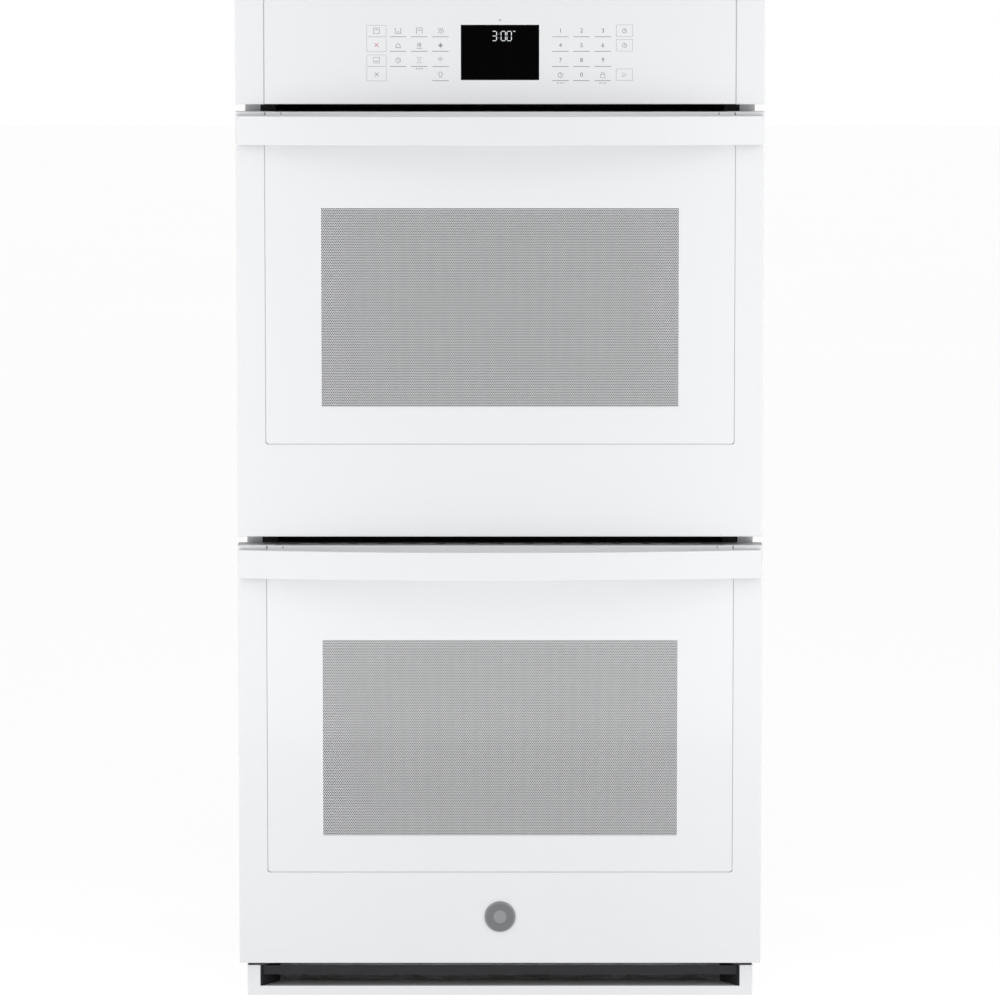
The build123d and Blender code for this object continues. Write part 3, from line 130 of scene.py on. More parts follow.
class Graph:
    """Node tree of one material, with short calls for what the finishes use."""

    def __init__(self, name: str) -> None:
        """Start a material with an output node only.

        Args:
            name: The material's name.
        """
        self.material = bpy.data.materials.new(name)
        self.material.use_nodes = True
        self.tree = self.material.node_tree
        self.tree.nodes.clear()
        self.output = self.node("ShaderNodeOutputMaterial")

    def node(self, kind: str, settings: dict | None = None,
             inputs: dict | None = None) -> bpy.types.Node:
        """Add a node.

        Args:
            kind: Type name of the node.
            settings: Attributes, set before the sockets.
            inputs: Values or links, by socket name or number.

        Returns:
            The node.
        """
        made = self.tree.nodes.new(kind)
        for name, setting in (settings or {}).items():
            setattr(made, name, setting)
        for name, given in (inputs or {}).items():
            shown = [s for s in made.inputs if s.enabled]
            socket = shown[name] if isinstance(name, int) else next(s for s in shown if s.name == name)
            if isinstance(given, Value):
                given = given.link
            if isinstance(given, bpy.types.NodeSocket):
                self.tree.links.new(given, socket)
            else:
                socket.default_value = given
        return made

    def value(self, kind: str, settings: dict | None = None, inputs: dict | None = None,
              output: str | int = 0) -> Value:
        """Add a node and wrap one of its outputs.

        Args:
            kind: Type name of the node.
            settings: Attributes, set before the sockets.
            inputs: Values or links, by socket name or number.
            output: Name or number of the output.

        Returns:
            The output as a value.
        """
        made = self.node(kind, settings, inputs)
        shown = [s for s in made.outputs if s.enabled]
        link = shown[output] if isinstance(output, int) else next(s for s in shown if s.name == output)
        return Value(self, link)

    def place(self) -> Value:
        """Object coordinates."""
        return self.value("ShaderNodeTexCoord", output="Object")

    def axes(self) -> tuple[Value, Value, Value]:
        """Object coordinates as x, y and z."""
        split = self.node("ShaderNodeSeparateXYZ", inputs={0: self.place()})
        return tuple(Value(self, s) for s in split.outputs)

    def stretched(self, scale: Point) -> Value:
        """Object coordinates scaled along each axis."""
        return self.value("ShaderNodeMapping", inputs={"Vector": self.place(), "Scale": scale})

    def noise(self, size: float, detail: float = 2.0, where: Value | None = None) -> Value:
        """Soft noise from 0 to 1.

        Args:
            size: Width of its blotches in metres.
            detail: Finer layers on top.
            where: Coordinates to read, else Object coordinates.

        Returns:
            The noise.
        """
        inputs = {"Vector": where or self.place(), "Scale": 1 / size, "Detail": detail}
        return self.value("ShaderNodeTexNoise", inputs=inputs)

    def cells(self, size: float, output: str = "Distance") -> Value:
        """Voronoi cells about size metres across: their distance or their colour."""
        inputs = {"Vector": self.place(), "Scale": 1 / size}
        return self.value("ShaderNodeTexVoronoi", inputs=inputs, output=output)

    def mixed(self, share: Value | float, low: Colour | Value, high: Colour | Value) -> Value:
        """Colour between two colours.

        Args:
            share: 0 for the low colour, 1 for the high one.
            low: Colour at 0.
            high: Colour at 1.

        Returns:
            The mix.
        """
        full = [c if isinstance(c, Value) else (*c, 1.0) for c in (low, high)]
        inputs = {0: share, 1: full[0], 2: full[1]}
        return self.value("ShaderNodeMix", {"data_type": "RGBA"}, inputs)

    def between(self, share: Value, low: float, high: float) -> Value:
        """Number from low to high as share goes from 0 to 1."""
        return share * (high - low) + low

    def bump(self, height: Value, depth: float) -> Value:
        """Normal for a height from 0 to 1 that stands depth metres proud."""
        return self.value("ShaderNodeBump", inputs={"Height": height, "Distance": depth, "Strength": 1.0})

    def principled(self, **sockets: object) -> Value:
        """Add a Principled shader.

        Args:
            sockets: Values, colours or links by socket name, with underscores for its spaces.

        Returns:
            The shader.
        """
        inputs = {name.replace("_", " "): given for name, given in sockets.items()}
        for name, given in inputs.items():
            if isinstance(given, tuple) and len(given) == 3:
                inputs[name] = (*given, 1.0)
        return self.value("ShaderNodeBsdfPrincipled", inputs=inputs)

    def shaders(self, share: Value | float, low: Value, high: Value) -> Value:
        """Mix of two shaders."""
        return self.value("ShaderNodeMixShader", inputs={0: share, 1: low, 2: high})

    def done(self, shader: Value) -> bpy.types.Material:
        """Join the shader to the output and hand back the material."""
        self.tree.links.new(shader.link, self.output.inputs["Surface"])
        return self.material


# ------------------------------------------------------------------ finishes
class Finish(Protocol):
    """What every finish has: the record's slot it stands for, and a way to build it."""

    slot: str

    def material(self) -> bpy.types.Material:
        """Build the material."""


@dataclass(frozen=True)
class Enamelled:
    """Sprayed and baked white enamel with a faint orange peel."""

    name: str = "white_enamel_paint"
    slot: str = "white_paint"
    colour: Colour = WHITE
    roughness: float = 0.3
    peel: float = 1.6 * MM
    peel_depth: float = 0.012 * MM

    def material(self) -> bpy.types.Material:
        """Build the material.

        Returns:
            The material.
        """
        g = Graph(self.name)
        patches = g.noise(90 * MM, 3)
        tint = shaded(self.colour, 0.985)
        peel = g.noise(self.peel, 1)
        return g.done(g.principled(
            Base_Color=g.mixed(patches, tint, self.colour),
            Roughness=g.between(patches, self.roughness - 0.03, self.roughness + 0.04),
            Coat_Weight=0.2, Coat_Roughness=0.1, Specular_IOR_Level=0.4,
            Normal=g.bump(peel, self.peel_depth)))


@dataclass(frozen=True)
class TrayPaint:
    """Vent tray: white lip and grey primed floor."""

    lip_back: float
    name: str = "vent_tray_paint"
    slot: str = "white_paint"
    white: Colour = WHITE
    floor: Colour = (0.5, 0.5, 0.51)

    def material(self) -> bpy.types.Material:
        """Build the material.

        Returns:
            The material.
        """
        g = Graph(self.name)
        _, y, _ = g.axes()
        behind = y > self.lip_back
        grain = g.noise(2 * MM, 2)
        primer = g.mixed(grain, self.floor, shaded(self.floor, 1.15))
        return g.done(g.principled(
            Base_Color=g.mixed(behind, self.white, primer),
            Roughness=g.between(grain, 0.3, 0.42),
            Coat_Weight=0.2, Coat_Roughness=0.1,
            Normal=g.bump(grain, 0.01 * MM)))


@dataclass(frozen=True)
class BackPainted:
    """Flat glass, painted white on its back."""

    name: str = "white_back_painted_glass"
    slot: str = "white_glass"
    paint: Colour = WHITE
    roughness: float = 0.16

    def shader(self, g: Graph) -> Value:
        """Painted glass as a shader in an open graph.

        Args:
            g: The graph.

        Returns:
            The shader.
        """
        haze = g.noise(140 * MM, 3)
        ripple = g.noise(60 * MM, 1)
        return g.principled(
            Base_Color=g.mixed(haze, shaded(self.paint, 0.99), self.paint),
            Roughness=g.between(haze, self.roughness - 0.02, self.roughness + 0.03),
            Coat_Weight=0.2, Coat_Roughness=0.03, Specular_IOR_Level=0.4,
            Normal=g.bump(ripple, 0.01 * MM))

    def material(self) -> bpy.types.Material:
        """Build the material."""
        g = Graph(self.name)
        return g.done(self.shader(g))


@dataclass(frozen=True)
class Screened(BackPainted):
    """Back painted glass whose window is a screen of small clear holes."""

    window: tuple[float, float, float, float] = (0.0, 0.0, 0.0, 0.0)
    pitch: float = 2.4 * MM
    level: float = -0.583
    clear: Colour = (0.36, 0.39, 0.385)

    def material(self) -> bpy.types.Material:
        """Build the material.

        The screen is a sum of waves that peaks on a hexagonal lattice; the holes are where it is high.

        Returns:
            The material.
        """
        g = Graph(self.name)
        left, right, low, high = self.window
        x, _, z = g.axes()
        row = self.pitch * math.sqrt(3)
        lattice = 2 * x.wave(self.pitch) * z.wave(row) + z.wave(row / 2)
        inside = (x > left) * (x < right) * (z > low) * (z < high)
        hole = inside * (lattice > self.level)
        pane = g.shaders(
            g.value("ShaderNodeFresnel", inputs={"IOR": 1.5}),
            g.value("ShaderNodeBsdfTransparent", inputs={"Color": (*self.clear, 1.0)}),
            g.value("ShaderNodeBsdfGlossy", inputs={"Roughness": 0.03}))
        return g.done(g.shaders(hole, self.shader(g), pane))


@dataclass(frozen=True)
class ClearPane:
    """Clear heat resistant glass with a faint warm film."""

    name: str = "clear_heat_glass"
    slot: str = "clear_glass"

    def material(self) -> bpy.types.Material:
        """Build the material.

        Returns:
            The material.
        """
        g = Graph(self.name)
        film = g.noise(80 * MM, 3)
        return g.done(g.principled(
            Base_Color=g.mixed(film, (0.93, 0.96, 0.95), (0.97, 0.98, 0.97)),
            Roughness=g.between(film, 0.0, 0.035), IOR=1.47, Transmission_Weight=1.0))


@dataclass(frozen=True)
class Galvanised:
    """Zinc coated sheet with spangles."""

    name: str = "galvanised_sheet"
    slot: str = "galvanised_steel"
    colour: Colour = (0.62, 0.635, 0.65)
    spangle: float = 14 * MM

    def material(self) -> bpy.types.Material:
        """Build the material.

        Returns:
            The material.
        """
        g = Graph(self.name)
        warp = g.noise(9 * MM, 2)
        spot = g.value("ShaderNodeSeparateColor", inputs={0: g.cells(self.spangle, "Color")})
        mottle = (spot * 0.7 + warp * 0.3).clamped()
        return g.done(g.principled(
            Base_Color=g.mixed(mottle, shaded(self.colour, 0.8), self.colour), Metallic=1.0,
            Roughness=g.between(mottle, 0.44, 0.27),
            Normal=g.bump(mottle, 0.02 * MM)))


@dataclass(frozen=True)
class SatinBlack:
    """Black paint or plastic with a fine grain."""

    name: str = "satin_black_paint"
    slot: str = "black_steel"
    colour: Colour = (0.014, 0.014, 0.016)
    roughness: float = 0.38
    grain: float = 0.9 * MM

    def material(self) -> bpy.types.Material:
        """Build the material.

        Returns:
            The material.
        """
        g = Graph(self.name)
        grain = g.noise(self.grain, 2)
        dust = g.noise(45 * MM, 4)
        lighter = tuple(c * 2.2 + 0.004 for c in self.colour)
        return g.done(g.principled(
            Base_Color=g.mixed(dust * grain, self.colour, lighter),
            Roughness=g.between(dust, self.roughness - 0.05, self.roughness + 0.08),
            Specular_IOR_Level=0.25, Normal=g.bump(grain, 0.03 * MM)))


@dataclass(frozen=True)
class Porcelain:
    """Dark porcelain enamel with fired light and blue specks."""

    name: str = "speckled_porcelain"
    slot: str = "oven_enamel"
    ground: Colour = (0.011, 0.013, 0.022)
    light: Colour = (0.42, 0.45, 0.52)
    blue: Colour = (0.035, 0.05, 0.1)

    def material(self) -> bpy.types.Material:
        """Build the material.

        Returns:
            The material.
        """
        g = Graph(self.name)
        wander = g.noise(12 * MM, 2)
        fine = g.cells(3.2 * MM) < (wander * 0.26)
        coarse = g.cells(6.5 * MM) < (wander * 0.4)
        tinted = g.mixed(coarse, self.ground, self.blue)
        pool = g.noise(25 * MM, 2)
        return g.done(g.principled(
            Base_Color=g.mixed(fine * 0.6, tinted, self.light),
            Roughness=g.between(pool, 0.1, 0.2),
            Coat_Weight=0.5, Coat_Roughness=0.05,
            Normal=g.bump(pool * 0.8 + fine * 0.2, 0.05 * MM)))


@dataclass(frozen=True)
class MineralWool:
    """Felted wool batt."""

    name: str = "felted_mineral_wool"
    slot: str = "mineral_wool"

    def material(self) -> bpy.types.Material:
        """Build the material.

        Returns:
            The material.
        """
        g = Graph(self.name)
        strand = g.noise(3 * MM, 6, g.stretched((0.25, 0.4, 1.6)))
        clump = g.noise(22 * MM, 4)
        fuzz = (strand * 0.65 + clump * 0.35).clamped()
        return g.done(g.principled(
            Base_Color=g.mixed(fuzz, (0.36, 0.29, 0.15), (0.78, 0.71, 0.5)),
            Roughness=0.95, Sheen_Weight=0.3, Sheen_Roughness=0.5,
            Normal=g.bump(fuzz, 1.2 * MM)))


@dataclass(frozen=True)
class Braid:
    """Braided glass fibre rope, seen as crossing diagonal strands."""

    name: str = "braided_glass_fibre"
    slot: str = "gasket_weave"
    strand: float = 3.4 * MM
    shadow: Colour = (0.06, 0.06, 0.058)
    fibre: Colour = (0.34, 0.33, 0.31)

    def material(self) -> bpy.types.Material:
        """Build the material.

        Returns:
            The material.
        """
        g = Graph(self.name)
        x, y, z = g.axes()
        over = (x + z).wave(self.strand) * (x - z + y).wave(self.strand)
        height = (over * 0.5 + 0.5).clamped()
        hair = g.noise(0.5 * MM, 3)
        return g.done(g.principled(
            Base_Color=g.mixed((height * 0.7 + hair * 0.3).clamped(), self.shadow, self.fibre),
            Roughness=0.85, Sheen_Weight=0.25,
            Normal=g.bump(height * 0.8 + hair * 0.2, 0.7 * MM)))


@dataclass(frozen=True)
class Metal:
    """Bare or plated metal with a drawn grain."""

    name: str
    slot: str
    colour: Colour
    roughness: float
    grain: Point = (1.0, 1.0, 1.0)
    tarnish: Colour | None = None
    tarnish_share: float = 0.35

    def material(self) -> bpy.types.Material:
        """Build the material.

        Returns:
            The material.
        """
        g = Graph(self.name)
        streak = g.noise(1.5 * MM, 3, g.stretched(self.grain))
        cloud = g.noise(30 * MM, 4)
        metal = g.mixed(streak, shaded(self.colour, 0.86), self.colour)
        if self.tarnish:
            metal = g.mixed((cloud * 2.2 * self.tarnish_share).clamped(), metal, self.tarnish)
        return g.done(g.principled(
            Base_Color=metal, Metallic=1.0,
            Roughness=g.between(streak * 0.5 + cloud * 0.5, self.roughness * 0.75, self.roughness * 1.3),
            Normal=g.bump(streak, 0.012 * MM)))


@dataclass(frozen=True)
class SpunMetal:
    """Satin disc with fine rings round its middle."""

    middle: Point
    name: str = "spun_satin_metal"
    slot: str = "badge_metal"
    colour: Colour = (0.2, 0.204, 0.212)

    def material(self) -> bpy.types.Material:
        """Build the material.

        Returns:
            The material.
        """
        g = Graph(self.name)
        x, _, z = g.axes()
        across, up = x - self.middle[0], z - self.middle[2]
        radius = (across * across + up * up).maths("SQRT")
        ring = radius.wave(0.45 * MM) * 0.5 + 0.5
        scratch = g.noise(0.25 * MM, 2)
        grain = (ring * 0.5 + scratch * 0.5).clamped()
        return g.done(g.principled(
            Base_Color=g.mixed(grain, shaded(self.colour, 0.85), self.colour),
            Metallic=1.0, Roughness=g.between(grain, 0.3, 0.42),
            Normal=g.bump(ring, 0.006 * MM)))


@dataclass(frozen=True)
class Lamp:
    """Ribbed glass lens in front of a white ceramic holder."""

    back_wall: float
    name: str = "lamp_glass_and_ceramic"
    slot: str = "clear_glass"

    def material(self) -> bpy.types.Material:
        """Build the material.

        Returns:
            The material.
        """
        g = Graph(self.name)
        x, y, z = g.axes()
        rib = (x.wave(3 * MM) * 0.5 + 0.5) * (z.wave(3 * MM) * 0.5 + 0.5)
        glass = g.principled(
            Base_Color=(0.95, 0.95, 0.9), Roughness=0.08, Transmission_Weight=0.75, IOR=1.48,
            Normal=g.bump(rib, 0.4 * MM))
        crazed = g.noise(4 * MM, 3)
        holder = g.principled(
            Base_Color=g.mixed(crazed, (0.62, 0.6, 0.55), (0.78, 0.76, 0.72)), Roughness=0.55,
            Normal=g.bump(crazed, 0.05 * MM))
        return g.done(g.shaders(y > self.back_wall, glass, holder))


@dataclass(frozen=True)
class Laminate:
    """Green circuit laminate; parts that stand on it are dark."""

    deck_top: float
    panel_back: float
    room_front: float
    name: str = "green_laminate"
    slot: str = "circuit_board"

    def material(self) -> bpy.types.Material:
        """Build the material.

        Returns:
            The material.
        """
        g = Graph(self.name)
        _, y, z = g.axes()
        flat = (y > self.room_front) * (z > self.deck_top)
        upright = (y < self.room_front) * (y > self.panel_back)
        parts = (flat + upright).clamped()
        traces = g.value("ShaderNodeTexBrick", inputs={
            "Vector": g.place(), "Scale": 90.0, "Mortar Size": 0.035}, output="Fac")
        pads = g.cells(5 * MM) < 0.22
        mask = g.mixed(traces, (0.012, 0.09, 0.035), (0.03, 0.17, 0.07))
        board = g.mixed(pads, mask, (0.62, 0.58, 0.45))
        return g.done(g.principled(
            Base_Color=g.mixed(parts, board, (0.02, 0.02, 0.022)),
            Roughness=g.between(parts, 0.3, 0.5),
            Normal=g.bump(traces, 0.05 * MM)))


@dataclass(frozen=True)
class Print:
    """Screen printed ink."""

    name: str
    colour: Colour
    slot: str = "white_glass"

    def material(self) -> bpy.types.Material:
        """Build the material.

        Returns:
            The material.
        """
        g = Graph(self.name)
        grain = g.noise(0.3 * MM, 1)
        return g.done(g.principled(
            Base_Color=g.mixed(grain, shaded(self.colour, 0.9), self.colour), Roughness=0.35))


@dataclass(frozen=True)
class Lit:
    """Lit display segments, a little uneven."""

    name: str = "lit_segments"
    slot: str = "display_black"
    colour: Colour = (0.9, 0.96, 1.0)

    def material(self) -> bpy.types.Material:
        """Build the material.

        Returns:
            The material.
        """
        g = Graph(self.name)
        glow = g.noise(2 * MM, 1)
        return g.done(g.principled(
            Base_Color=(0.05, 0.05, 0.05), Roughness=0.3,
            Emission_Color=g.mixed(glow, shaded(self.colour, 0.8), self.colour),
            Emission_Strength=1.0))


@dataclass(frozen=True)
class Smoked:
    """Near black glossy window."""

    name: str = "smoked_window"
    slot: str = "display_black"

    def material(self) -> bpy.types.Material:
        """Build the material.

        Returns:
            The material.
        """
        g = Graph(self.name)
        haze = g.noise(20 * MM, 2)
        return g.done(g.principled(
            Base_Color=g.mixed(haze, (0.0006, 0.0006, 0.0007), (0.001, 0.001, 0.0012)),
            Roughness=g.between(haze, 0.12, 0.2), Specular_IOR_Level=0.02))


# ------------------------------------------------------------------ mesh work
class Shape:
    """A bmesh that grows by closed forms and ends as one riding piece."""

    def __init__(self) -> None:
        """Start empty."""
        self.mesh = bmesh.new()

    def rounded(self, verts: Iterable[bmesh.types.BMVert], radius: float, segments: int = 2) -> None:
        """Bevel the edges of some vertices.

        Args:
            verts: Vertices of the form.
            radius: Width of the bevel.
            segments: Steps in the bevel.
        """
        edges = {e for v in verts for e in v.link_edges}
        self.bevelled(edges, radius, segments)

    def bevelled(self, edges: Iterable[bmesh.types.BMEdge], radius: float, segments: int = 2) -> None:
        """Bevel some edges."""
        bmesh.ops.bevel(self.mesh, geom=list(edges), offset=radius, segments=segments, profile=0.5,
                        affect="EDGES", material=-1)

    def cube(self, low: Sequence[float], high: Sequence[float]) -> list[bmesh.types.BMVert]:
        """Add a box between two corners.

        Args:
            low: Lowest corner.
            high: Highest corner.

        Returns:
            Its vertices.
        """
        size = Vector(high) - Vector(low)
        middle = (Vector(high) + Vector(low)) / 2
        placed = Matrix.Translation(middle) @ Matrix.Diagonal((*size, 1.0))
        return bmesh.ops.create_cube(self.mesh, size=1.0, matrix=placed)["verts"]

    def block(self, low: Sequence[float], high: Sequence[float], radius: float = 0.0,
              segments: int = 2) -> None:
        """Add a box whose edges are rounded.

        Args:
            low: Lowest corner.
            high: Highest corner.
            radius: Width of the rounding, or 0 for sharp edges.
            segments: Steps in the rounding.
        """
        verts = self.cube(low, high)
        if radius:
            self.rounded(verts, radius, segments)

    def pressed(self, low: Sequence[float], high: Sequence[float], out: Point,
                draft: float = 3 * MM) -> None:
        """Add a pressed field: a flat block whose outer face is drawn in, with soft edges.

        Args:
            low: Lowest corner.
            high: Highest corner.
            out: Direction that the field stands out in.
            draft: How far the outer face is drawn in on every side.
        """
        middle = (Vector(high) + Vector(low)) / 2
        verts = self.cube(low, high)
        outer = [v for v in verts if (v.co - middle).dot(Vector(out)) > 0]
        for axis in (a for a in range(3) if abs(out[a]) < 0.5):
            for side in SIDES:
                ends = [v for v in outer if (v.co[axis] - middle[axis]) * side > 0]
                shift = Vector([-side * draft if a == axis else 0.0 for a in range(3)])
                bmesh.ops.translate(self.mesh, verts=ends, vec=shift)
        self.rounded(outer, 0.8 * MM, 3)

    def window(self, low: Sequence[float], high: Sequence[float], wide: float, radius: float) -> None:
        """Add a rectangular frame that is open along Y.

        Args:
            low: Lowest outer corner.
            high: Highest outer corner.
            wide: Width of the frame's sides.
            radius: Rounding of its edges.
        """
        before = set(self.mesh.faces)
        self.cube(low, high)
        ends = [f for f in self.mesh.faces if f not in before]
        bmesh.ops.recalc_face_normals(self.mesh, faces=ends)
        ends = [f for f in ends if abs(f.normal.y) > 0.9]
        bmesh.ops.inset_individual(self.mesh, faces=ends, thickness=wide, use_even_offset=True)
        rims = [e for f in ends for e in f.edges]
        bmesh.ops.delete(self.mesh, geom=ends, context="FACES_ONLY")
        bmesh.ops.bridge_loops(self.mesh, edges=rims)
        made = [f for f in self.mesh.faces if f not in before]
        bmesh.ops.recalc_face_normals(self.mesh, faces=made)
        sharp = {e for f in made for e in f.edges if e.calc_face_angle(0.0) > 0.5}
        self.bevelled(sharp, radius)

    def turned(self, profile: Sequence[tuple[float, float]], where: Point, axis: Point,
               steps: int = 24) -> None:
        """Add a form turned from a profile of radius and height, closed on the axis or as a ring.

        Args:
            profile: Points of radius and height, in metres.
            where: Foot of the axis.
            axis: Direction of the axis.
            steps: Steps round the axis.
        """
        ring = profile[0][0] > 0 and profile[-1][0] > 0
        verts = [self.mesh.verts.new((r, 0.0, h)) for r, h in profile]
        edges = [self.mesh.edges.new(pair) for pair in zip(verts, verts[1:])]
        if ring:
            edges.append(self.mesh.edges.new((verts[-1], verts[0])))
        before = set(self.mesh.verts) - set(verts)
        bmesh.ops.spin(self.mesh, geom=verts + edges, cent=(0, 0, 0), axis=(0, 0, 1), angle=2 * math.pi,
                       steps=steps, use_merge=True)
        made = [v for v in self.mesh.verts if v not in before]
        bmesh.ops.remove_doubles(self.mesh, verts=made, dist=1e-7)
        made = [v for v in self.mesh.verts if v not in before]
        turn = Vector((0, 0, 1)).rotation_difference(Vector(axis)).to_matrix().to_4x4()
        bmesh.ops.transform(self.mesh, matrix=Matrix.Translation(where) @ turn, verts=made)

    def screw(self, where: Point, axis: Point, radius: float = 4.2 * MM) -> None:
        """Add a hexagon head with its washer and a dished top.

        Args:
            where: Middle of the washer's underside.
            axis: Direction that the head points in.
            radius: Radius of the washer; the rest follows it.
        """
        head = 0.72 * radius
        washer = 0.3 * radius
        self.turned([(0, 0), (radius, 0), (radius, 0.14 * radius), (head, washer), (0, washer)],
                    where, axis, 16)
        up = Vector(where) + Vector(axis) * 0.28 * radius
        top, dish = 0.78 * radius, 0.6 * radius
        self.turned([(0, 0), (head, 0), (head, 0.62 * radius), (0.86 * head, top), (0.5 * head, top),
                     (0.42 * head, dish), (0, dish)], tuple(up), axis, 6)

    def piece(self, name: str, body: str, finish: Finish, smooth: bool = False) -> bpy.types.Object:
        """End the shape as a piece that rides on a body.

        Args:
            name: Piece name.
            body: Body of the frame that carries it.
            finish: Its finish.
            smooth: Whether its faces are smooth shaded.

        Returns:
            The new object.
        """
        bmesh.ops.recalc_face_normals(self.mesh, faces=self.mesh.faces)
        for face in self.mesh.faces:
            face.smooth = smooth
        data = bpy.data.meshes.new(name)
        self.mesh.to_mesh(data)
        self.mesh.free()
        return placed_piece(data, name, body, finish)


def placed_piece(data: bpy.types.Mesh, name: str, body: str, finish: Finish) -> bpy.types.Object:
    """Make an object of a mesh, dress it and let it ride.

    Args:
        data: The finished mesh, in place.
        name: Piece name.
        body: Body that carries it.
        finish: Its finish.

    Returns:
        The object.
    """
    made = bpy.data.objects.new(name, data)
    bpy.context.scene.collection.objects.link(made)
    data.materials.clear()
    data.materials.append(dress(finish))
    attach(made, body)
    LOG.info("%s: %d faces on %s", name, len(data.polygons), body)
    return made


DRESSED: dict[Finish, bpy.types.Material] = {}


def dress(finish: Finish) -> bpy.types.Material:
    """Give the material of a finish, built once.

    Args:
        finish: The finish.

    Returns:
        Its material.
    """
    if finish not in DRESSED:
        DRESSED[finish] = finish.material()
    return DRESSED[finish]


ENAMEL = Enamelled()
GALVANISED = Galvanised()
BLACK = SatinBlack()
PORCELAIN = Porcelain()
ZINC = Metal("zinc_plate", "motor_steel", colour=(0.56, 0.56, 0.53), roughness=0.34, grain=(0.3, 1.0, 1.0),
             tarnish=(0.5, 0.47, 0.36), tarnish_share=0.2)
CHROME = Metal("bright_wire", "chrome_wire", colour=(0.82, 0.83, 0.85), roughness=0.09,
               grain=(0.2, 0.2, 1.0))
SHEATH = Metal("heated_sheath", "element_sheath", colour=(0.12, 0.115, 0.12), roughness=0.45,
               grain=(0.3, 0.3, 1.0), tarnish=(0.1, 0.075, 0.06), tarnish_share=0.5)
PLASTIC = SatinBlack("moulded_black_plastic", "fan_plastic", colour=(0.018, 0.018, 0.02), roughness=0.5,
                     grain=0.6 * MM)


# ------------------------------------------------------------------ control panel
class Mark(Enum):
    """Generic key symbols as strokes: points across and up from the middle, in key units."""

    UPPER = (((-1, -1), (1, -1), (1, 1), (-1, 1), (-1, -1)), ((-0.6, 0.35), (0.6, 0.35)))
    LOWER = (((-1, -1), (1, -1), (1, 1), (-1, 1), (-1, -1)), ((-0.6, -0.35), (0.6, -0.35)))
    STOP = (((-0.7, -0.7), (0.7, 0.7)), ((-0.7, 0.7), (0.7, -0.7)))
    BAKE = (((-1, 1), (-1, -1), (1, -1), (1, 1)), ((-0.55, -0.45), (0.55, -0.45)))
    BROIL = (((-1, -1), (-1, 1), (1, 1), (1, -1)), ((-0.6, 0.4), (-0.2, 0), (0.2, 0.4), (0.6, 0)))
    STEAM = (((-0.7, -1), (-0.4, 0), (-0.8, 1)), ((0, -1), (0.3, 0), (-0.1, 1)),
             ((0.7, -1), (1, 0), (0.6, 1)))
    DOUGH = (((-1, -0.8), (1, -0.8)), ((-0.8, -0.5), (-0.6, 0.3), (0, 0.7), (0.6, 0.3), (0.8, -0.5)))
    WARM = (((-1, -1), (1, -1)), ((-0.5, -0.4), (-0.5, 0.9)), ((0, -0.4), (0, 0.9)),
            ((0.5, -0.4), (0.5, 0.9)))
    CLEAN = (((0, -1), (0, 1)), ((-0.9, 0), (0.9, 0)), ((-0.5, -0.5), (0.5, 0.5)),
             ((-0.5, 0.5), (0.5, -0.5)))
    TIME = (((0, 0.9), (-0.8, 0.4), (-0.8, -0.5), (0, -1), (0.8, -0.5), (0.8, 0.4), (0, 0.9)),
            ((0, 0.5), (0, 0), (0.4, -0.2)))
    DELAY = (((-0.8, 1), (0.8, 1), (-0.8, -1), (0.8, -1), (-0.8, 1)),)
    REMOTE = (((-0.9, 0.3), (0, 1), (0.9, 0.3)), ((-0.5, -0.2), (0, 0.3), (0.5, -0.2)),
              ((0, -0.8), (0, -0.9)))
    LIGHT = (((-0.3, -0.9), (-0.3, -0.3), (-0.8, 0.3), (-0.3, 1), (0.3, 1), (0.8, 0.3), (0.3, -0.3),
              (0.3, -0.9), (-0.3, -0.9)),)
    LOCK = (((-0.8, -1), (0.8, -1), (0.8, 0.1), (-0.8, 0.1), (-0.8, -1)),
            ((-0.5, 0.1), (-0.4, 0.9), (0.4, 0.9), (0.5, 0.1)))
    START = (((-0.7, -0.9), (0.9, 0), (-0.7, 0.9), (-0.7, -0.9)),)
    NONE = ()


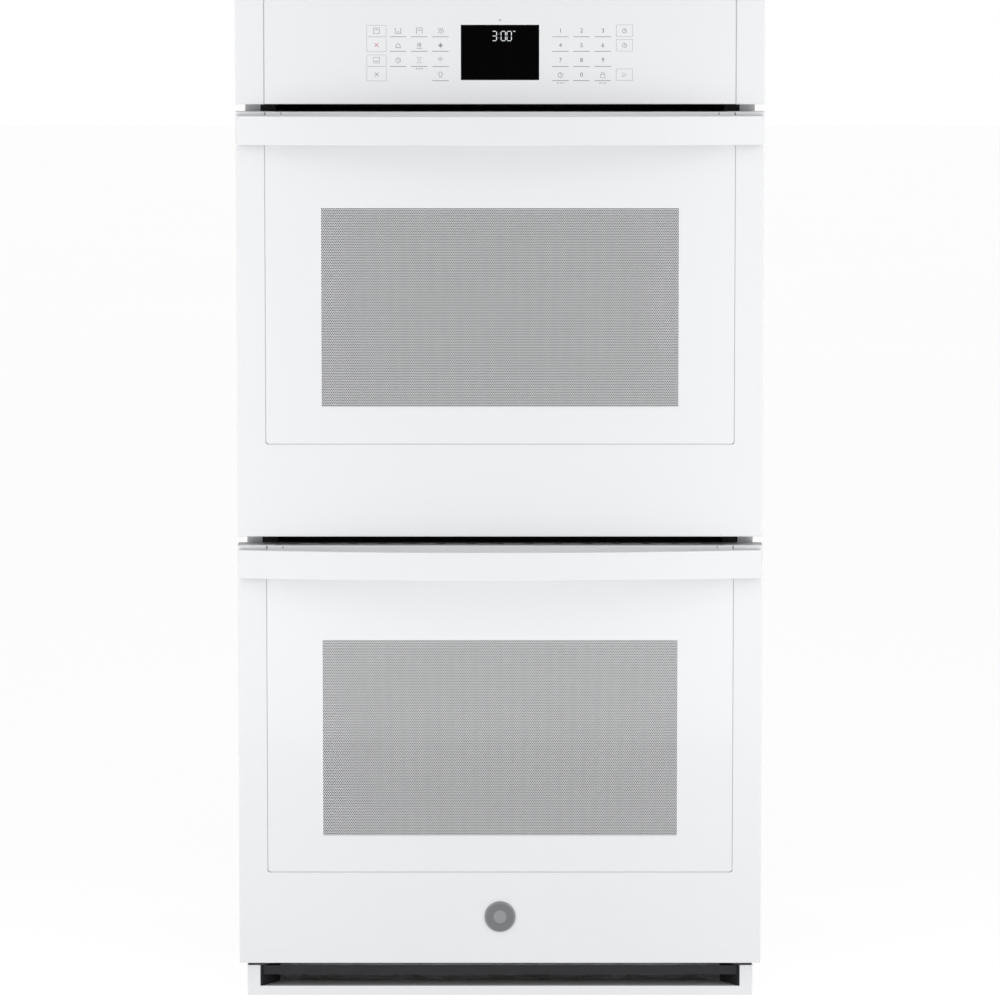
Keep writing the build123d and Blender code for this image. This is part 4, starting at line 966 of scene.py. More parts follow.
@dataclass
class ControlPanel:
    """Printed keys, display window and lit clock on the touch glass.

    Every field is in millimetres: across from the middle, up from the panel's lower edge.
    """

    rows: tuple[float, ...] = (94.1, 75.3, 56.5, 37.7)
    under: tuple[float, ...] = (86.3, 67.8, 48.5, 30.3)
    key_left: tuple[float, ...] = (-130.6, -103.4, -76.2)
    key_right: tuple[float, ...] = (77.5, 104.5, 131.8)
    boxed_left: float = -158.2
    boxed_right: float = 159.4
    line: float = 21.0
    box_wide: float = 24.8
    box_rise: float = 14.6
    box_fall: float = 0.3
    box_inset: float = 1.0
    timer: tuple[float, float] = (20.8, 15.0)
    timer_rise: float = 0.2
    symbol_size: float = 3.6
    timer_symbol: float = 3.2
    stop_rise: float = 0.5
    beacon_rise: float = 5.4
    beacon_size: float = 1.6
    hint_drop: float = 3.0
    hint_pitch: float = 3.4
    hint_half: float = 1.1
    line_width: float = 0.75
    hint_width: float = 0.9
    box_width: float = 0.6
    symbol_width: float = 0.7
    numeral: float = 7.6
    numeral_depth: float = 0.02
    print_height: float = 0.05
    window: tuple[float, float] = (100.4, 70.6)
    window_low: float = 31.0
    window_proud: float = 0.04
    window_deep: float = 0.1
    window_round: float = 0.02
    clock: tuple[tuple[float, str], ...] = ((-10.0, "abcdg"), (1.4, "abcdef"), (9.0, "abcdef"))
    clock_high: float = 93.3
    clock_width: float = 0.95
    clock_lift: float = 0.05
    digit: tuple[float, float] = (5.6, 12.0)
    digit_gap: float = 0.12
    colon: tuple[float, float] = (-1.6, -1.2)
    half_day: tuple[float, float] = (17.0, 19.6)

    def __post_init__(self) -> None:
        """Find the glass face and the panel's lower edge."""
        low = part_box("control_glass")[0]
        self.face = low.y
        self.base = low.z - 0.4 * MM

    def strokes(self, name: str, paths: list[Stroke], width: float, finish: Finish,
                lift: float = 0.0) -> None:
        """Make one piece of printed lines.

        Args:
            name: Piece name.
            paths: Each stroke's points across and up, in millimetres on the panel.
            width: Line width in millimetres.
            finish: Ink or light.
            lift: How far the print stands off the glass, in millimetres.
        """
        curve = bpy.data.curves.new(name, "CURVE")
        curve.dimensions = "3D"
        curve.bevel_depth = width / 2
        curve.bevel_resolution = 1
        curve.use_fill_caps = True
        for path in paths:
            closed = path[0] == path[-1]
            points = path[:-1] if closed else path
            spline = curve.splines.new("POLY")
            spline.points.add(len(points) - 1)
            for point, (across, up) in zip(spline.points, points):
                point.co = (across, 0.0, up, 1.0)
            spline.use_cyclic_u = closed
        drawn = bpy.data.objects.new(name, curve)
        data = bpy.data.meshes.new_from_object(drawn)
        bpy.data.objects.remove(drawn)
        flat = Matrix.Diagonal((MM, self.print_height * MM / width, MM, 1.0))
        data.transform(Matrix.Translation((0, self.face - lift * MM, self.base)) @ flat)
        data.name = name
        placed_piece(data, name, CASING, finish)

    def numbers(self, finish: Finish) -> None:
        """Print the ten numerals on their keys.

        Args:
            finish: The ink.
        """
        keys = [(str(3 * row + column + 1), x, self.rows[row])
                for row in range(3) for column, x in enumerate(self.key_right)]
        keys.append(("0", self.key_right[1], self.rows[3]))
        shape = Shape()
        for text, x, z in keys:
            font = bpy.data.curves.new("numeral", "FONT")
            font.body = text
            font.size = self.numeral
            font.align_x = "CENTER"
            font.align_y = "CENTER"
            font.extrude = self.numeral_depth
            drawn = bpy.data.objects.new("numeral", font)
            data = bpy.data.meshes.new_from_object(drawn)
            bpy.data.objects.remove(drawn)
            stand = Matrix.Rotation(math.pi / 2, 4, "X")
            data.transform(Matrix.Translation((x * MM, self.face, self.base + z * MM))
                           @ Matrix.Diagonal((MM, MM, MM, 1.0)) @ stand)
            shape.mesh.from_mesh(data)
            bpy.data.meshes.remove(data)
        bmesh.ops.remove_doubles(shape.mesh, verts=shape.mesh.verts, dist=1e-7)
        shape.piece("key_numbers", CASING, finish)

    def symbol(self, mark: Mark, x: float, z: float, size: float | None = None) -> list[Stroke]:
        """Strokes of a symbol centred on a key.

        Args:
            mark: The symbol.
            x: Middle of the key, across.
            z: Middle of the key, up.
            size: Half the symbol's height, else the usual one.

        Returns:
            Its strokes.
        """
        size = size or self.symbol_size
        return [[(x + size * a, z + size * b) for a, b in stroke] for stroke in mark.value]

    def underline(self, x: float, row: int) -> Stroke:
        """Line under the key at x in a row."""
        return [(x - self.line / 2, self.under[row]), (x + self.line / 2, self.under[row])]

    def outline(self, middle: float, wide: float, bottom: float, top: float) -> Stroke:
        """Closed rectangle round a key, centred across on middle."""
        left, right = middle - wide / 2, middle + wide / 2
        return [(left, bottom), (right, bottom), (right, top), (left, top), (left, bottom)]

    def keys(self) -> None:
        """Print underlines, boxes, symbols and numbers."""
        grey = Print("grey_key_ink", (0.11, 0.11, 0.12))
        pale = Print("pale_key_ink", (0.26, 0.26, 0.275))
        red = Print("red_key_ink", (0.42, 0.03, 0.05))
        left = ((Mark.BAKE, Mark.BROIL, Mark.STEAM), (Mark.DOUGH, Mark.WARM, Mark.CLEAN),
                (Mark.TIME, Mark.DELAY, Mark.REMOTE), (Mark.NONE, Mark.NONE, Mark.LIGHT))
        lines, symbols, boxes, hints = [], [], [], []
        for row, marks in enumerate(left):
            for x, mark in zip(self.key_left, marks):
                if mark is not Mark.NONE:
                    lines.append(self.underline(x, row))
                    symbols += self.symbol(mark, x, self.rows[row])
            lines += [self.underline(x, row) for x in self.key_right]
        for row, mark in ((0, Mark.UPPER), (2, Mark.LOWER)):
            symbols += self.symbol(mark, self.boxed_left, self.rows[row])
            top, bottom = self.under[row] + self.box_rise, self.under[row + 1] - self.box_fall
            boxes.append(self.outline(self.boxed_left, self.box_wide, bottom, top))
            half = self.box_wide / 2 - self.box_inset
            boxes.append([(self.boxed_left + side * half, self.under[row]) for side in SIDES])
        wide, tall = self.timer
        for row, mark, rise in ((0, Mark.TIME, self.timer_rise), (1, Mark.TIME, self.timer_rise),
                                (3, Mark.START, 0.0)):
            low = self.under[row] + rise
            boxes.append(self.outline(self.boxed_right, wide, low, low + tall))
            symbols += self.symbol(mark, self.boxed_right, low + tall / 2, self.timer_symbol)
        symbols += self.symbol(Mark.TIME, self.key_right[0], self.rows[3])
        symbols += self.symbol(Mark.LOCK, self.key_right[2], self.rows[3])
        symbols += self.symbol(Mark.STOP, self.boxed_left, self.rows[3] + self.stop_rise)
        beacon = self.window_low + self.window[1] + self.beacon_rise
        symbols += self.symbol(Mark.REMOTE, 0.0, beacon, self.beacon_size)
        for x, row in ((self.key_left[1], 2), (self.key_right[0], 3), (self.key_right[2], 3)):
            z = self.under[row] - self.hint_drop
            for dash in (-self.hint_pitch, 0.0, self.hint_pitch):
                hints.append([(x + dash - self.hint_half, z), (x + dash + self.hint_half, z)])
        self.strokes("key_underlines", lines, self.line_width, grey)
        self.strokes("key_hints", hints, self.hint_width, grey)
        self.strokes("key_boxes", boxes, self.box_width, pale)
        self.strokes("key_symbols", symbols, self.symbol_width, grey)
        stop = self.symbol(Mark.STOP, self.boxed_left, self.rows[1] + self.stop_rise)
        self.strokes("key_symbol_stop", stop, self.line_width, red)
        self.numbers(grey)

    def display(self) -> None:
        """Black window with a lit clock."""
        wide, tall = self.window
        shape = Shape()
        low = (-wide / 2 * MM, self.face - self.window_proud * MM, self.base + self.window_low * MM)
        high = (wide / 2 * MM, self.face + self.window_deep * MM, self.base + (self.window_low + tall) * MM)
        shape.block(low, high, self.window_round * MM, 1)
        shape.piece("display_window", CASING, Smoked())
        wide, tall = self.digit
        segments = {
            "a": ((0, tall), (wide, tall)), "b": ((wide, tall), (wide, tall / 2)),
            "c": ((wide, tall / 2), (wide, 0)), "d": ((0, 0), (wide, 0)),
            "e": ((0, 0), (0, tall / 2)), "f": ((0, tall / 2), (0, tall)),
            "g": ((0, tall / 2), (wide, tall / 2)),
        }
        lit, foot = [], self.clock_high - tall
        for start, shown in self.clock:
            for letter in shown:
                (x0, z0), (x1, z1) = segments[letter]
                trim_x, trim_z = self.digit_gap * (x1 - x0), self.digit_gap * (z1 - z0)
                lit.append([(start + x0 + trim_x, foot + z0 + trim_z),
                            (start + x1 - trim_x, foot + z1 - trim_z)])
        for share in (0.3, 0.7):
            lit.append([(x, foot + share * tall) for x in self.colon])
        lit.append([(x, foot + tall) for x in self.half_day])
        self.strokes("display_clock", lit, self.clock_width, Lit(), self.clock_lift)

    def build(self) -> None:
        """Print the keys and light the display."""
        self.keys()
        self.display()


# ------------------------------------------------------------------ seams
@dataclass
class SeamsAndPaintedShade:
    """Grey fill in the seams of the glass and a black strip on the trims, both painted shade, and the cap's
    end seams.
    """

    # Size of the grey fill that paints shade into the glass seams.
    seam: float = 0.8 * MM
    clear: float = 0.06 * MM
    sunk: float = 0.25 * MM
    deep: float = 2.5 * MM
    corner: float = 3 * MM
    top_short: float = 0.5 * MM
    # Size of the black strip that paints shade on the trims' inner edges.
    shade_strip_depth: float = 0.7 * MM
    shade_strip_in: float = 0.3 * MM
    shade_strip_out: float = 309.5 * MM
    shade_strip_short: float = 4 * MM
    tick_in: float = 281.0 * MM
    tick_out: float = 301.4 * MM
    tick: float = 0.9 * MM
    tick_drop: tuple[float, float] = (4.2 * MM, 1.2 * MM)

    def glass(self, node: str, name: str, body: str, bottom: bool) -> None:
        """Fill the seam beside a glass, and under it, with pale grey as painted shade.

        Args:
            node: The glass.
            name: Piece name.
            body: Body that carries it.
            bottom: Whether the seam runs under the glass too.
        """
        low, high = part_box(node)
        near, far = low.y + self.sunk, low.y + self.deep
        foot = low.z + self.corner if bottom else low.z
        shape = Shape()
        for side in SIDES:
            x = sorted((side * (high.x + self.clear), side * (high.x + self.seam - self.clear)))
            shape.block((x[0], near, foot), (x[1], far, high.z - self.top_short))
        if bottom:
            shape.block((low.x + self.corner, near, low.z - self.seam + self.clear),
                        (high.x - self.corner, far, low.z - self.clear))
        # Pale grey in the seam: painted shade where the gap beside the glass falls dark.
        shape.piece(name, body, Print("grey_seam_shade", (0.55, 0.555, 0.565)))

    def trims(self) -> None:
        """Black strip along the inner edge of both side trims: painted shade in the gaps beside the doors.
        """
        low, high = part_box("side_trim_right")
        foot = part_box("bottom_vent_trim")[1].z + self.shade_strip_short
        shape = Shape()
        for side in SIDES:
            x = sorted((side * (low.x - self.shade_strip_in), side * self.shade_strip_out))
            shape.block((x[0], low.y - self.shade_strip_depth, foot), (x[1], low.y + 0.1 * MM, high.z - self.shade_strip_short),
                        0.2 * MM)
        # Black strip: painted shade where the gaps between doors and trims fall dark.
        shape.piece("trim_gap_shade_strip", CASING, PLASTIC)

    def cap_ends(self, oven: str) -> None:
        """Fine dark seams where the door's cap meets its corners.

        Args:
            oven: Name of the oven.
        """
        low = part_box(f"{oven}_door_glass")[0]
        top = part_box(f"{oven}_door_skin")[1].z
        bottom_drop, top_drop = self.tick_drop
        shape = Shape()
        for side in SIDES:
            for x in (self.tick_in, self.tick_out):
                shape.block((side * x - self.tick / 2, low.y - 0.05 * MM, top - bottom_drop),
                            (side * x + self.tick / 2, low.y + 0.3 * MM, top - top_drop))
        shape.piece(f"{oven}_cap_seams", f"{oven}_door", PLASTIC)

    def build(self) -> None:
        """Add painted shade in the glass seams of doors and panel and along the trims, and the doors' cap
        seams.
        """
        for oven in OVENS:
            self.glass(f"{oven}_door_glass", f"{oven}_glass_seam_shade", f"{oven}_door", True)
            self.cap_ends(oven)
        self.glass("control_glass", "panel_glass_seam_shade", CASING, False)
        self.trims()


# ------------------------------------------------------------------ casing details
@dataclass
class CasingDetails:
    """Screws, pressed panels and louvre hoods on the outside of the casing."""

    screw_pitch: float = 180 * MM
    edge: float = 9 * MM
    press: float = 2.2 * MM
    sunk: float = 0.5 * MM
    rear_ends: tuple[float, float] = (60 * MM, 70 * MM)
    rear_margin: float = 45 * MM
    hood_middle: float = -150 * MM
    hood_clear: float = 82 * MM
    hood_rows: int = 8
    hood_pitch: float = 14 * MM
    hood_rise: float = 2.5 * MM
    hood_half: float = 62 * MM
    hood_radius: float = 4.6 * MM
    collar: float = 14.25 * MM
    bore: float = 11.2 * MM
    top_ends: tuple[float, float] = (30 * MM, 90 * MM)
    bead_half: float = 9 * MM
    bead_ends: tuple[float, float] = (50 * MM, 160 * MM)
    side_end: float = 40 * MM
    side_edges: tuple[float, float] = (14 * MM, 12 * MM)
    side_margin: float = 60 * MM

    def between(self, low: float, high: float) -> list[float]:
        """Places about one pitch apart, from low to high."""
        count = max(2, round((high - low) / self.screw_pitch) + 1)
        return [low + (high - low) * step / (count - 1) for step in range(count)]

    def rear(self) -> None:
        """Screws, pressed fields, hoods over the slots and the supply entry's nut."""
        low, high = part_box("rear_cover")
        face = high.y
        low_end, high_end = self.rear_ends
        screws, fields, hoods = Shape(), Shape(), Shape()
        for x in (low.x + self.edge, high.x - self.edge):
            for z in self.between(low.z + low_end, high.z - high_end):
                screws.screw((x, face, z), BACKWARD)
        for x in self.between(low.x + high_end, high.x - high_end):
            for z in (low.z + self.edge, high.z - self.edge):
                screws.screw((x, face, z), BACKWARD)
        shoulder = self.hood_half - 2 * MM
        end = self.hood_radius - 1 * MM
        hood = [(0, -self.hood_half), (end, -self.hood_half), (self.hood_radius, -shoulder),
                (self.hood_radius, shoulder), (end, self.hood_half), (0, self.hood_half)]
        for oven in OVENS:
            skin_low, skin_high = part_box(f"{oven}_door_skin")
            bottom, top = skin_low.z, skin_high.z
            for x0, x1 in ((low.x + self.rear_margin, self.hood_middle - self.hood_clear),
                           (self.hood_middle + self.hood_clear, high.x - self.rear_margin)):
                fields.pressed((x0, face - self.sunk, bottom + self.rear_margin),
                               (x1, face + self.press, top - self.rear_margin), BACKWARD)
            for row in range(self.hood_rows):
                z = (bottom + top) / 2 + (row - (self.hood_rows - 1) / 2) * self.hood_pitch
                hoods.turned(hood, (self.hood_middle, face, z + self.hood_rise), (1, 0, 0), 12)
        self.halve(hoods, Vector((0, face - 0.2 * MM, 0)), Vector(BACKWARD))
        screws.piece("rear_cover_screws", CASING, ZINC)
        fields.piece("rear_pressed_fields", CASING, GALVANISED)
        hoods.piece("rear_louvre_hoods", CASING, GALVANISED, smooth=True)
        self.supply(face)

    def halve(self, shape: Shape, where: Vector, keep: Vector) -> None:
        """Cut a shape flat and close it.

        Args:
            shape: The shape.
            where: A point of the cutting plane.
            keep: Direction of the side that stays.
        """
        geom = shape.mesh.verts[:] + shape.mesh.edges[:] + shape.mesh.faces[:]
        cut = bmesh.ops.bisect_plane(shape.mesh, geom=geom, plane_co=where, plane_no=keep,
                                     clear_inner=True)
        rim = [e for e in cut["geom_cut"] if isinstance(e, bmesh.types.BMEdge)]
        bmesh.ops.holes_fill(shape.mesh, edges=rim)

    def supply(self, face: float) -> None:
        """Lock nut and insulating bush on the supply collar.

        Args:
            face: Outer face of the rear cover.
        """
        low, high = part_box("junction_box")
        where = ((low.x + high.x) / 2, face, (low.z + high.z) / 2)
        collar, flat, high_edge = self.collar, 21.5 * MM, 3.2 * MM
        nut = Shape()
        nut.turned([(collar, 0), (flat - 0.5 * MM, 0), (flat, 0.6 * MM), (flat, 2.6 * MM),
                    (20.6 * MM, high_edge), (collar, high_edge)], where, BACKWARD, 6)
        nut.piece("supply_lock_nut", CASING, ZINC)
        rim = high.y - face
        lip, inner = 15.2 * MM, 11.5 * MM
        bush = Shape()
        bush.turned([(self.bore, rim - 3 * MM), (self.bore, rim + 0.4 * MM), (11.9 * MM, rim + 1.2 * MM),
                     (14.4 * MM, rim + 1.2 * MM), (lip, rim + 0.4 * MM), (lip, rim - 1.6 * MM),
                     (collar, rim - 1.6 * MM), (collar, rim + 0.1 * MM), (inner, rim + 0.1 * MM),
                     (inner, rim - 3 * MM)], where, BACKWARD, 32)
        bush.piece("supply_bush", CASING, PLASTIC, smooth=True)

    def top(self) -> None:
        """Screws and pressed stiffeners on the top cover."""
        low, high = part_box("top_cover")
        y_end, x_end = self.top_ends
        front_end, back_end = self.bead_ends
        screws, beads = Shape(), Shape()
        for y in self.between(low.y + y_end, high.y - y_end):
            for x in (low.x + self.edge, high.x - self.edge):
                screws.screw((x, y, high.z), UPWARD)
        for x in self.between(low.x + x_end, high.x - x_end):
            screws.screw((x, high.y - self.edge, high.z), UPWARD)
            screws.screw((x, low.y + self.edge, high.z), UPWARD)
        for share in (-0.6, -0.2, 0.2, 0.6):
            x = share * high.x
            beads.pressed((x - self.bead_half, low.y + front_end, high.z - self.sunk),
                          (x + self.bead_half, high.y - back_end, high.z + self.press), UPWARD)
        screws.piece("top_cover_screws", CASING, ZINC)
        beads.piece("top_pressed_beads", CASING, GALVANISED)

    def sides(self) -> None:
        """Pressed fields and edge screws on both side panels."""
        front_edge, back_edge = self.side_edges
        for side, name in ((-1, "left"), (1, "right")):
            low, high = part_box(f"side_panel_{name}")
            face = high.x if side > 0 else low.x
            inner, outer = sorted((face - side * self.sunk, face + side * self.press))
            depth = high.y - low.y
            screws, fields = Shape(), Shape()
            for z in self.between(low.z + self.side_end, high.z - self.side_end):
                for y in (low.y + front_edge, high.y - back_edge):
                    screws.screw((face, y, z), (side, 0, 0))
            for oven in OVENS:
                skin_low, skin_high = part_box(f"{oven}_door_skin")
                for start, end in ((0.09, 0.46), (0.54, 0.91)):
                    fields.pressed((inner, low.y + start * depth, skin_low.z + self.side_margin),
                                   (outer, low.y + end * depth, skin_high.z - self.side_margin),
                                   (side, 0, 0))
            screws.piece(f"{name}_side_screws", CASING, ZINC)
            fields.piece(f"{name}_side_pressed_fields", CASING, GALVANISED)

    def build(self) -> None:
        """Dress every outer side."""
        self.rear()
        self.top()
        self.sides()


# ------------------------------------------------------------------ ovens and doors
@dataclass
class OvenDetails:
    """Fittings inside one oven: flange screws, element clips and the back wall's field."""

    oven: str
    screw_end: float = 60 * MM
    screw_radius: float = 2.0 * MM
    element_radius: float = 3.4 * MM
    roof_drop: float = 22 * MM
    soft: float = 0.4 * MM
    field_half: float = 150 * MM
    field_low: float = 60 * MM
    field_tall: float = 210 * MM
    field_proud: float = 2.4 * MM

    def mouth(self) -> None:
        """Screws round the mouth's flange."""
        low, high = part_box(f"{self.oven}_cavity")
        x_edge = (high.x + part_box(f"{self.oven}_gasket")[1].x) / 2
        shape = Shape()
        for z in (low.z + self.screw_end, (low.z + high.z) / 2, high.z - self.screw_end):
            for side in SIDES:
                shape.screw((side * x_edge, low.y, z), FORWARD, self.screw_radius)
        shape.piece(f"{self.oven}_flange_screws", CASING, ZINC)

    def element_clips(self) -> None:
        """Clips that hang the upper element from the roof: saddle, post and foot."""
        low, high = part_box(f"{self.oven}_broil_element")
        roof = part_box(f"{self.oven}_cavity")[1].z - self.roof_drop
        parts = (((5 * MM, 4 * MM), (high.z - 0.3 * MM, high.z + 1.2 * MM)),
                 ((1.2 * MM, 3 * MM), (high.z + 1 * MM, roof)),
                 ((8 * MM, 5 * MM), (roof - 1.2 * MM, roof)))
        shape = Shape()
        for x in (low.x + self.element_radius, high.x - self.element_radius):
            for share in (0.25, 0.7):
                y = low.y + share * (high.y - low.y)
                for (half_x, half_y), (foot, head) in parts:
                    shape.block((x - half_x, y - half_y, foot), (x + half_x, y + half_y, head), self.soft)
        shape.piece(f"{self.oven}_element_clips", CASING, ZINC)

    def back_wall(self) -> None:
        """Pressed field on the back wall."""
        low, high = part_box(f"{self.oven}_cavity")
        wall = high.y - SHEET
        foot = low.z + self.field_low
        shape = Shape()
        shape.pressed((-self.field_half, wall - self.field_proud, foot),
                      (self.field_half, wall + self.soft, foot + self.field_tall), FORWARD)
        shape.piece(f"{self.oven}_back_pressed_field", CASING, PORCELAIN)

    def build(self) -> None:
        """Add every fitting of this oven."""
        self.mouth()
        self.element_clips()
        self.back_wall()


@dataclass
class DoorDetails:
    """Fittings on the inner side of one door."""

    oven: str
    bezel: float = 9 * MM
    cover: float = 2 * MM
    bezel_proud: float = 1.8 * MM
    screw_radius: float = 3.2 * MM
    screw_side: float = 11 * MM
    screw_top: float = 9 * MM
    screw_foot: float = 10 * MM
    bead_tall: float = 14 * MM
    bead_below: float = 40 * MM
    bead_above: float = 22 * MM
    bead_proud: float = 1.4 * MM

    def window_bezel(self) -> None:
        """Black frame on the window's edge: bezel wide outside it and cover wide inside it."""
        low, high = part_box(f"{self.oven}_inner_pane")
        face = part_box(f"{self.oven}_door_liner")[1].y
        inset = PANE_LAP - self.bezel
        shape = Shape()
        shape.window((low.x + inset, face - 0.2 * MM, low.z + inset),
                     (high.x - inset, face + self.bezel_proud, high.z - inset),
                     self.bezel + self.cover, 0.6 * MM)
        shape.piece(f"{self.oven}_window_bezel", f"{self.oven}_door", BLACK)

    def liner_screws(self) -> None:
        """Screws round the liner's edge."""
        low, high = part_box(f"{self.oven}_door_liner")
        shape = Shape()
        for side in SIDES:
            for share in (0.3, 0.5, 0.72, 0.93):
                shape.screw((side * (high.x - self.screw_side), high.y, low.z + share * (high.z - low.z)),
                            BACKWARD, self.screw_radius)
        for share in (-0.7, -0.35, 0.35, 0.7):
            for z in (high.z - self.screw_top, low.z + self.screw_foot):
                shape.screw((share * high.x, high.y, z), BACKWARD, self.screw_radius)
        shape.piece(f"{self.oven}_liner_screws", f"{self.oven}_door", ZINC)

    def liner_beads(self) -> None:
        """Pressed beads of the liner, below and above the window."""
        low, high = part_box(f"{self.oven}_inner_pane")
        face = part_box(f"{self.oven}_door_liner")[1].y
        shape = Shape()
        for z in (low.z - self.bead_below, high.z + self.bead_above):
            shape.pressed((low.x, face - 0.4 * MM, z),
                          (high.x, face + self.bead_proud, z + self.bead_tall), BACKWARD, 2 * MM)
        shape.piece(f"{self.oven}_liner_beads", f"{self.oven}_door", PORCELAIN)

    def build(self) -> None:
        """Add every fitting of this door."""
        self.window_bezel()
        self.liner_screws()
        self.liner_beads()


@dataclass
class Badge:
    """Plain raised rim and boss on the round badge."""

    rim: float = 1.6 * MM
    proud: float = 0.35 * MM
    sunk: float = 0.2 * MM
    boss_share: float = 0.45

    def build(self) -> None:
        """Turn the rim and the boss."""
        low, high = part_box("badge")
        middle = (low + high) / 2
        radius = (high.x - low.x) / 2 - 0.3 * MM
        where = (middle.x, low.y, middle.z)
        inner, boss = radius - self.rim, self.boss_share * radius
        shape = Shape()
        shape.turned([(inner, -self.sunk), (inner, self.proud * 0.7), (inner + 0.3 * MM, self.proud),
                      (radius - 0.5 * MM, self.proud), (radius, -0.1 * MM)], where, FORWARD, 64)
        shape.turned([(0, -self.sunk), (boss, -self.sunk), (boss - 0.4 * MM, 0.22 * MM), (0, 0.26 * MM)],
                     where, FORWARD, 48)
        finish = SpunMetal(tuple(middle), "spun_badge_rim", colour=(0.3, 0.305, 0.315))
        shape.piece("badge_rim", "lower_door", finish)


# ------------------------------------------------------------------ finishes of the frame's own nodes
class Wardrobe:
    """Gives every node of the frame its finish."""

    deck_board = 11.7 * MM  # top face of the flat circuit board, above the duct
    panel_board = 1.7 * MM  # back face of the upright board, behind the display

    def __init__(self) -> None:
        """Choose the plain finish of each slot."""
        self.plain: dict[str, Finish] = {
            "white_paint": ENAMEL,
            "white_glass": BackPainted(),
            "clear_glass": ClearPane(),
            "galvanised_steel": GALVANISED,
            "black_steel": BLACK,
            "oven_enamel": PORCELAIN,
            "mineral_wool": MineralWool(),
            "gasket_weave": Braid(),
            "chrome_wire": CHROME,
            "element_sheath": SHEATH,
            "motor_steel": ZINC,
            "fan_plastic": PLASTIC,
            "display_black": Smoked("display_case"),
        }

    def special(self) -> dict[str, Finish]:
        """Finishes of nodes that differ from their slot's plain one.

        Returns:
            Finish by node name.
        """
        badge_low, badge_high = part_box("badge")
        deck_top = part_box("top_duct")[1].z + self.deck_board
        panel_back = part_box("display_module")[1].y + self.panel_board
        finishes: dict[str, Finish] = {
            "bottom_vent_trim": TrayPaint(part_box("bottom_vent_trim")[0].y + SHEET + 0.1 * MM),
            "oven_lamps": Lamp(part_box("upper_cavity")[1].y - SHEET),
            "control_boards": Laminate(deck_top, panel_back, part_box("front_frame")[0].y),
            "badge": SpunMetal(tuple((badge_low + badge_high) / 2)),
        }
        for oven in OVENS:
            low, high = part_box(f"{oven}_inner_pane")
            window = (low.x + PANE_LAP, high.x - PANE_LAP, low.z + PANE_LAP, high.z - PANE_LAP)
            finishes[f"{oven}_door_glass"] = Screened(f"{oven}_screened_glass", window=window)
        return finishes

    def dress_all(self) -> None:
        """Assign a material to each node."""
        slots = {part["node"]: part["material_slot"] for part in frame["record"]["subparts"]}
        special = self.special()
        for name, node in frame["nodes"].items():
            material = dress(special.get(name) or self.plain[slots[name]])
            node.data.materials.clear()
            node.data.materials.append(material)
            for polygon in node.data.polygons:
                polygon.material_index = 0
            LOG.info("%s: %s", name, material.name)


# ------------------------------------------------------------------ studio
def facing(eye: Vector, aim: Vector) -> Euler:
    """Rotation of a light or camera at eye that looks at aim."""
    return (aim - eye).to_track_quat("-Z", "Y").to_euler()


@dataclass(frozen=True)
class SoftBox:
    """One area light."""

    name: str
    where: Point
    aim: Point
    size: tuple[float, float]
    power: float

    def hang(self) -> None:
        """Add the light to the scene."""
        data = bpy.data.lights.new(self.name, "AREA")
        data.shape = "RECTANGLE"
        data.size, data.size_y = self.size
        data.energy = self.power
        made = bpy.data.objects.new(self.name, data)
        made.location = self.where
        made.rotation_euler = facing(Vector(self.where), Vector(self.aim))
        bpy.context.scene.collection.objects.link(made)


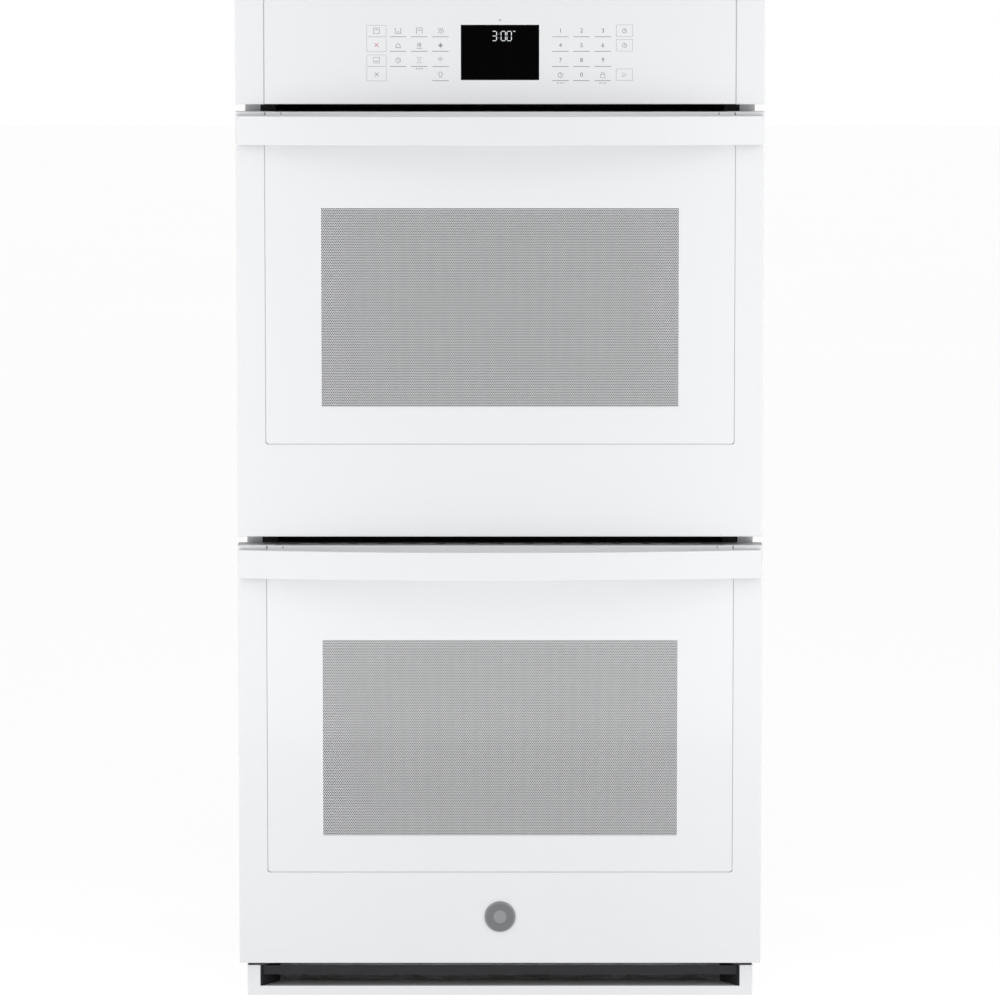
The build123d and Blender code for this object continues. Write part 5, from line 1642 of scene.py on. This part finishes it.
@dataclass
class Studio:
    """Pale floor, soft lights and the camera."""

    distance: float = 6.5
    eye: float = 1.318
    aim: float = 0.652
    covers: float = 1.2928
    sensor: float = 36.0
    world: float = 0.48
    floor_size: float = 40.0
    floor_tones: tuple[float, float] = (0.34, 0.36)
    floor_glow: float = 0.78
    boxes: tuple[SoftBox, ...] = (
        SoftBox("left_softbox", (-0.95, -0.85, 1.0), (0.0, -0.3, 1.0), (0.3, 1.9), 5.0),
        SoftBox("right_softbox", (0.95, -0.85, 1.0), (0.0, -0.3, 1.0), (0.3, 1.9), 5.4),
        SoftBox("low_softbox", (0.0, -1.9, 0.25), (0.0, -0.3, 0.3), (1.8, 0.3), 2.0),
        SoftBox("top_softbox", (0.0, -1.6, 3.4), (0.0, 0.0, 0.65), (2.4, 1.6), 7.5),
    )

    def camera(self) -> None:
        """Place the camera in front, a little above the top."""
        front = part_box("upper_door_skin")[0].y
        eye = Vector((0.0, front - self.distance, self.eye))
        aim = Vector((0.0, front, self.aim))
        data = bpy.data.cameras.new("studio_camera")
        data.sensor_fit = "HORIZONTAL"
        data.sensor_width = self.sensor
        data.lens = self.sensor * (aim - eye).length / self.covers
        data.clip_end = 100.0
        made = bpy.data.objects.new("studio_camera", data)
        made.location = eye
        made.rotation_euler = facing(eye, aim)
        bpy.context.scene.collection.objects.link(made)
        bpy.context.scene.camera = made

    def floor(self) -> None:
        """Wide pale floor under the object."""
        g = Graph("pale_floor")
        low, high = ((tone, tone, tone) for tone in self.floor_tones)
        material = g.done(g.principled(
            Base_Color=g.mixed(g.noise(2.0, 2), low, high), Roughness=0.8,
            Emission_Color=(1.0, 1.0, 1.0), Emission_Strength=self.floor_glow))
        made = bmesh.new()
        bmesh.ops.create_grid(made, x_segments=1, y_segments=1, size=self.floor_size)
        data = bpy.data.meshes.new("studio_floor")
        made.to_mesh(data)
        made.free()
        data.materials.append(material)
        floor = bpy.data.objects.new("studio_floor", data)
        bpy.context.scene.collection.objects.link(floor)

    def air(self) -> None:
        """Even world light, plain white where the camera sees it."""
        world = bpy.data.worlds.new("studio_air")
        world.use_nodes = True
        tree = world.node_tree
        back = tree.nodes["Background"]
        seen = tree.nodes.new("ShaderNodeLightPath")
        level = tree.nodes.new("ShaderNodeMath")
        level.operation = "MAXIMUM"
        level.inputs[1].default_value = self.world
        tree.links.new(seen.outputs["Is Camera Ray"], level.inputs[0])
        tree.links.new(level.outputs[0], back.inputs["Strength"])
        back.inputs["Color"].default_value = (1.0, 1.0, 1.0, 1.0)
        bpy.context.scene.world = world

    def build(self) -> None:
        """Set up floor, lights and camera."""
        bpy.context.scene.view_settings.view_transform = "Standard"
        self.floor()
        self.air()
        for box in self.boxes:
            box.hang()
        self.camera()


def main() -> None:
    """Dress the frame, add the details and set up the studio."""
    logging.basicConfig(level=logging.INFO, format="%(name)s %(message)s")
    Wardrobe().dress_all()
    ControlPanel().build()
    Badge().build()
    SeamsAndPaintedShade().build()
    CasingDetails().build()
    for oven in OVENS:
        OvenDetails(oven).build()
        DoorDetails(oven).build()
    Studio().build()


if __name__ == "__main__":
    main()
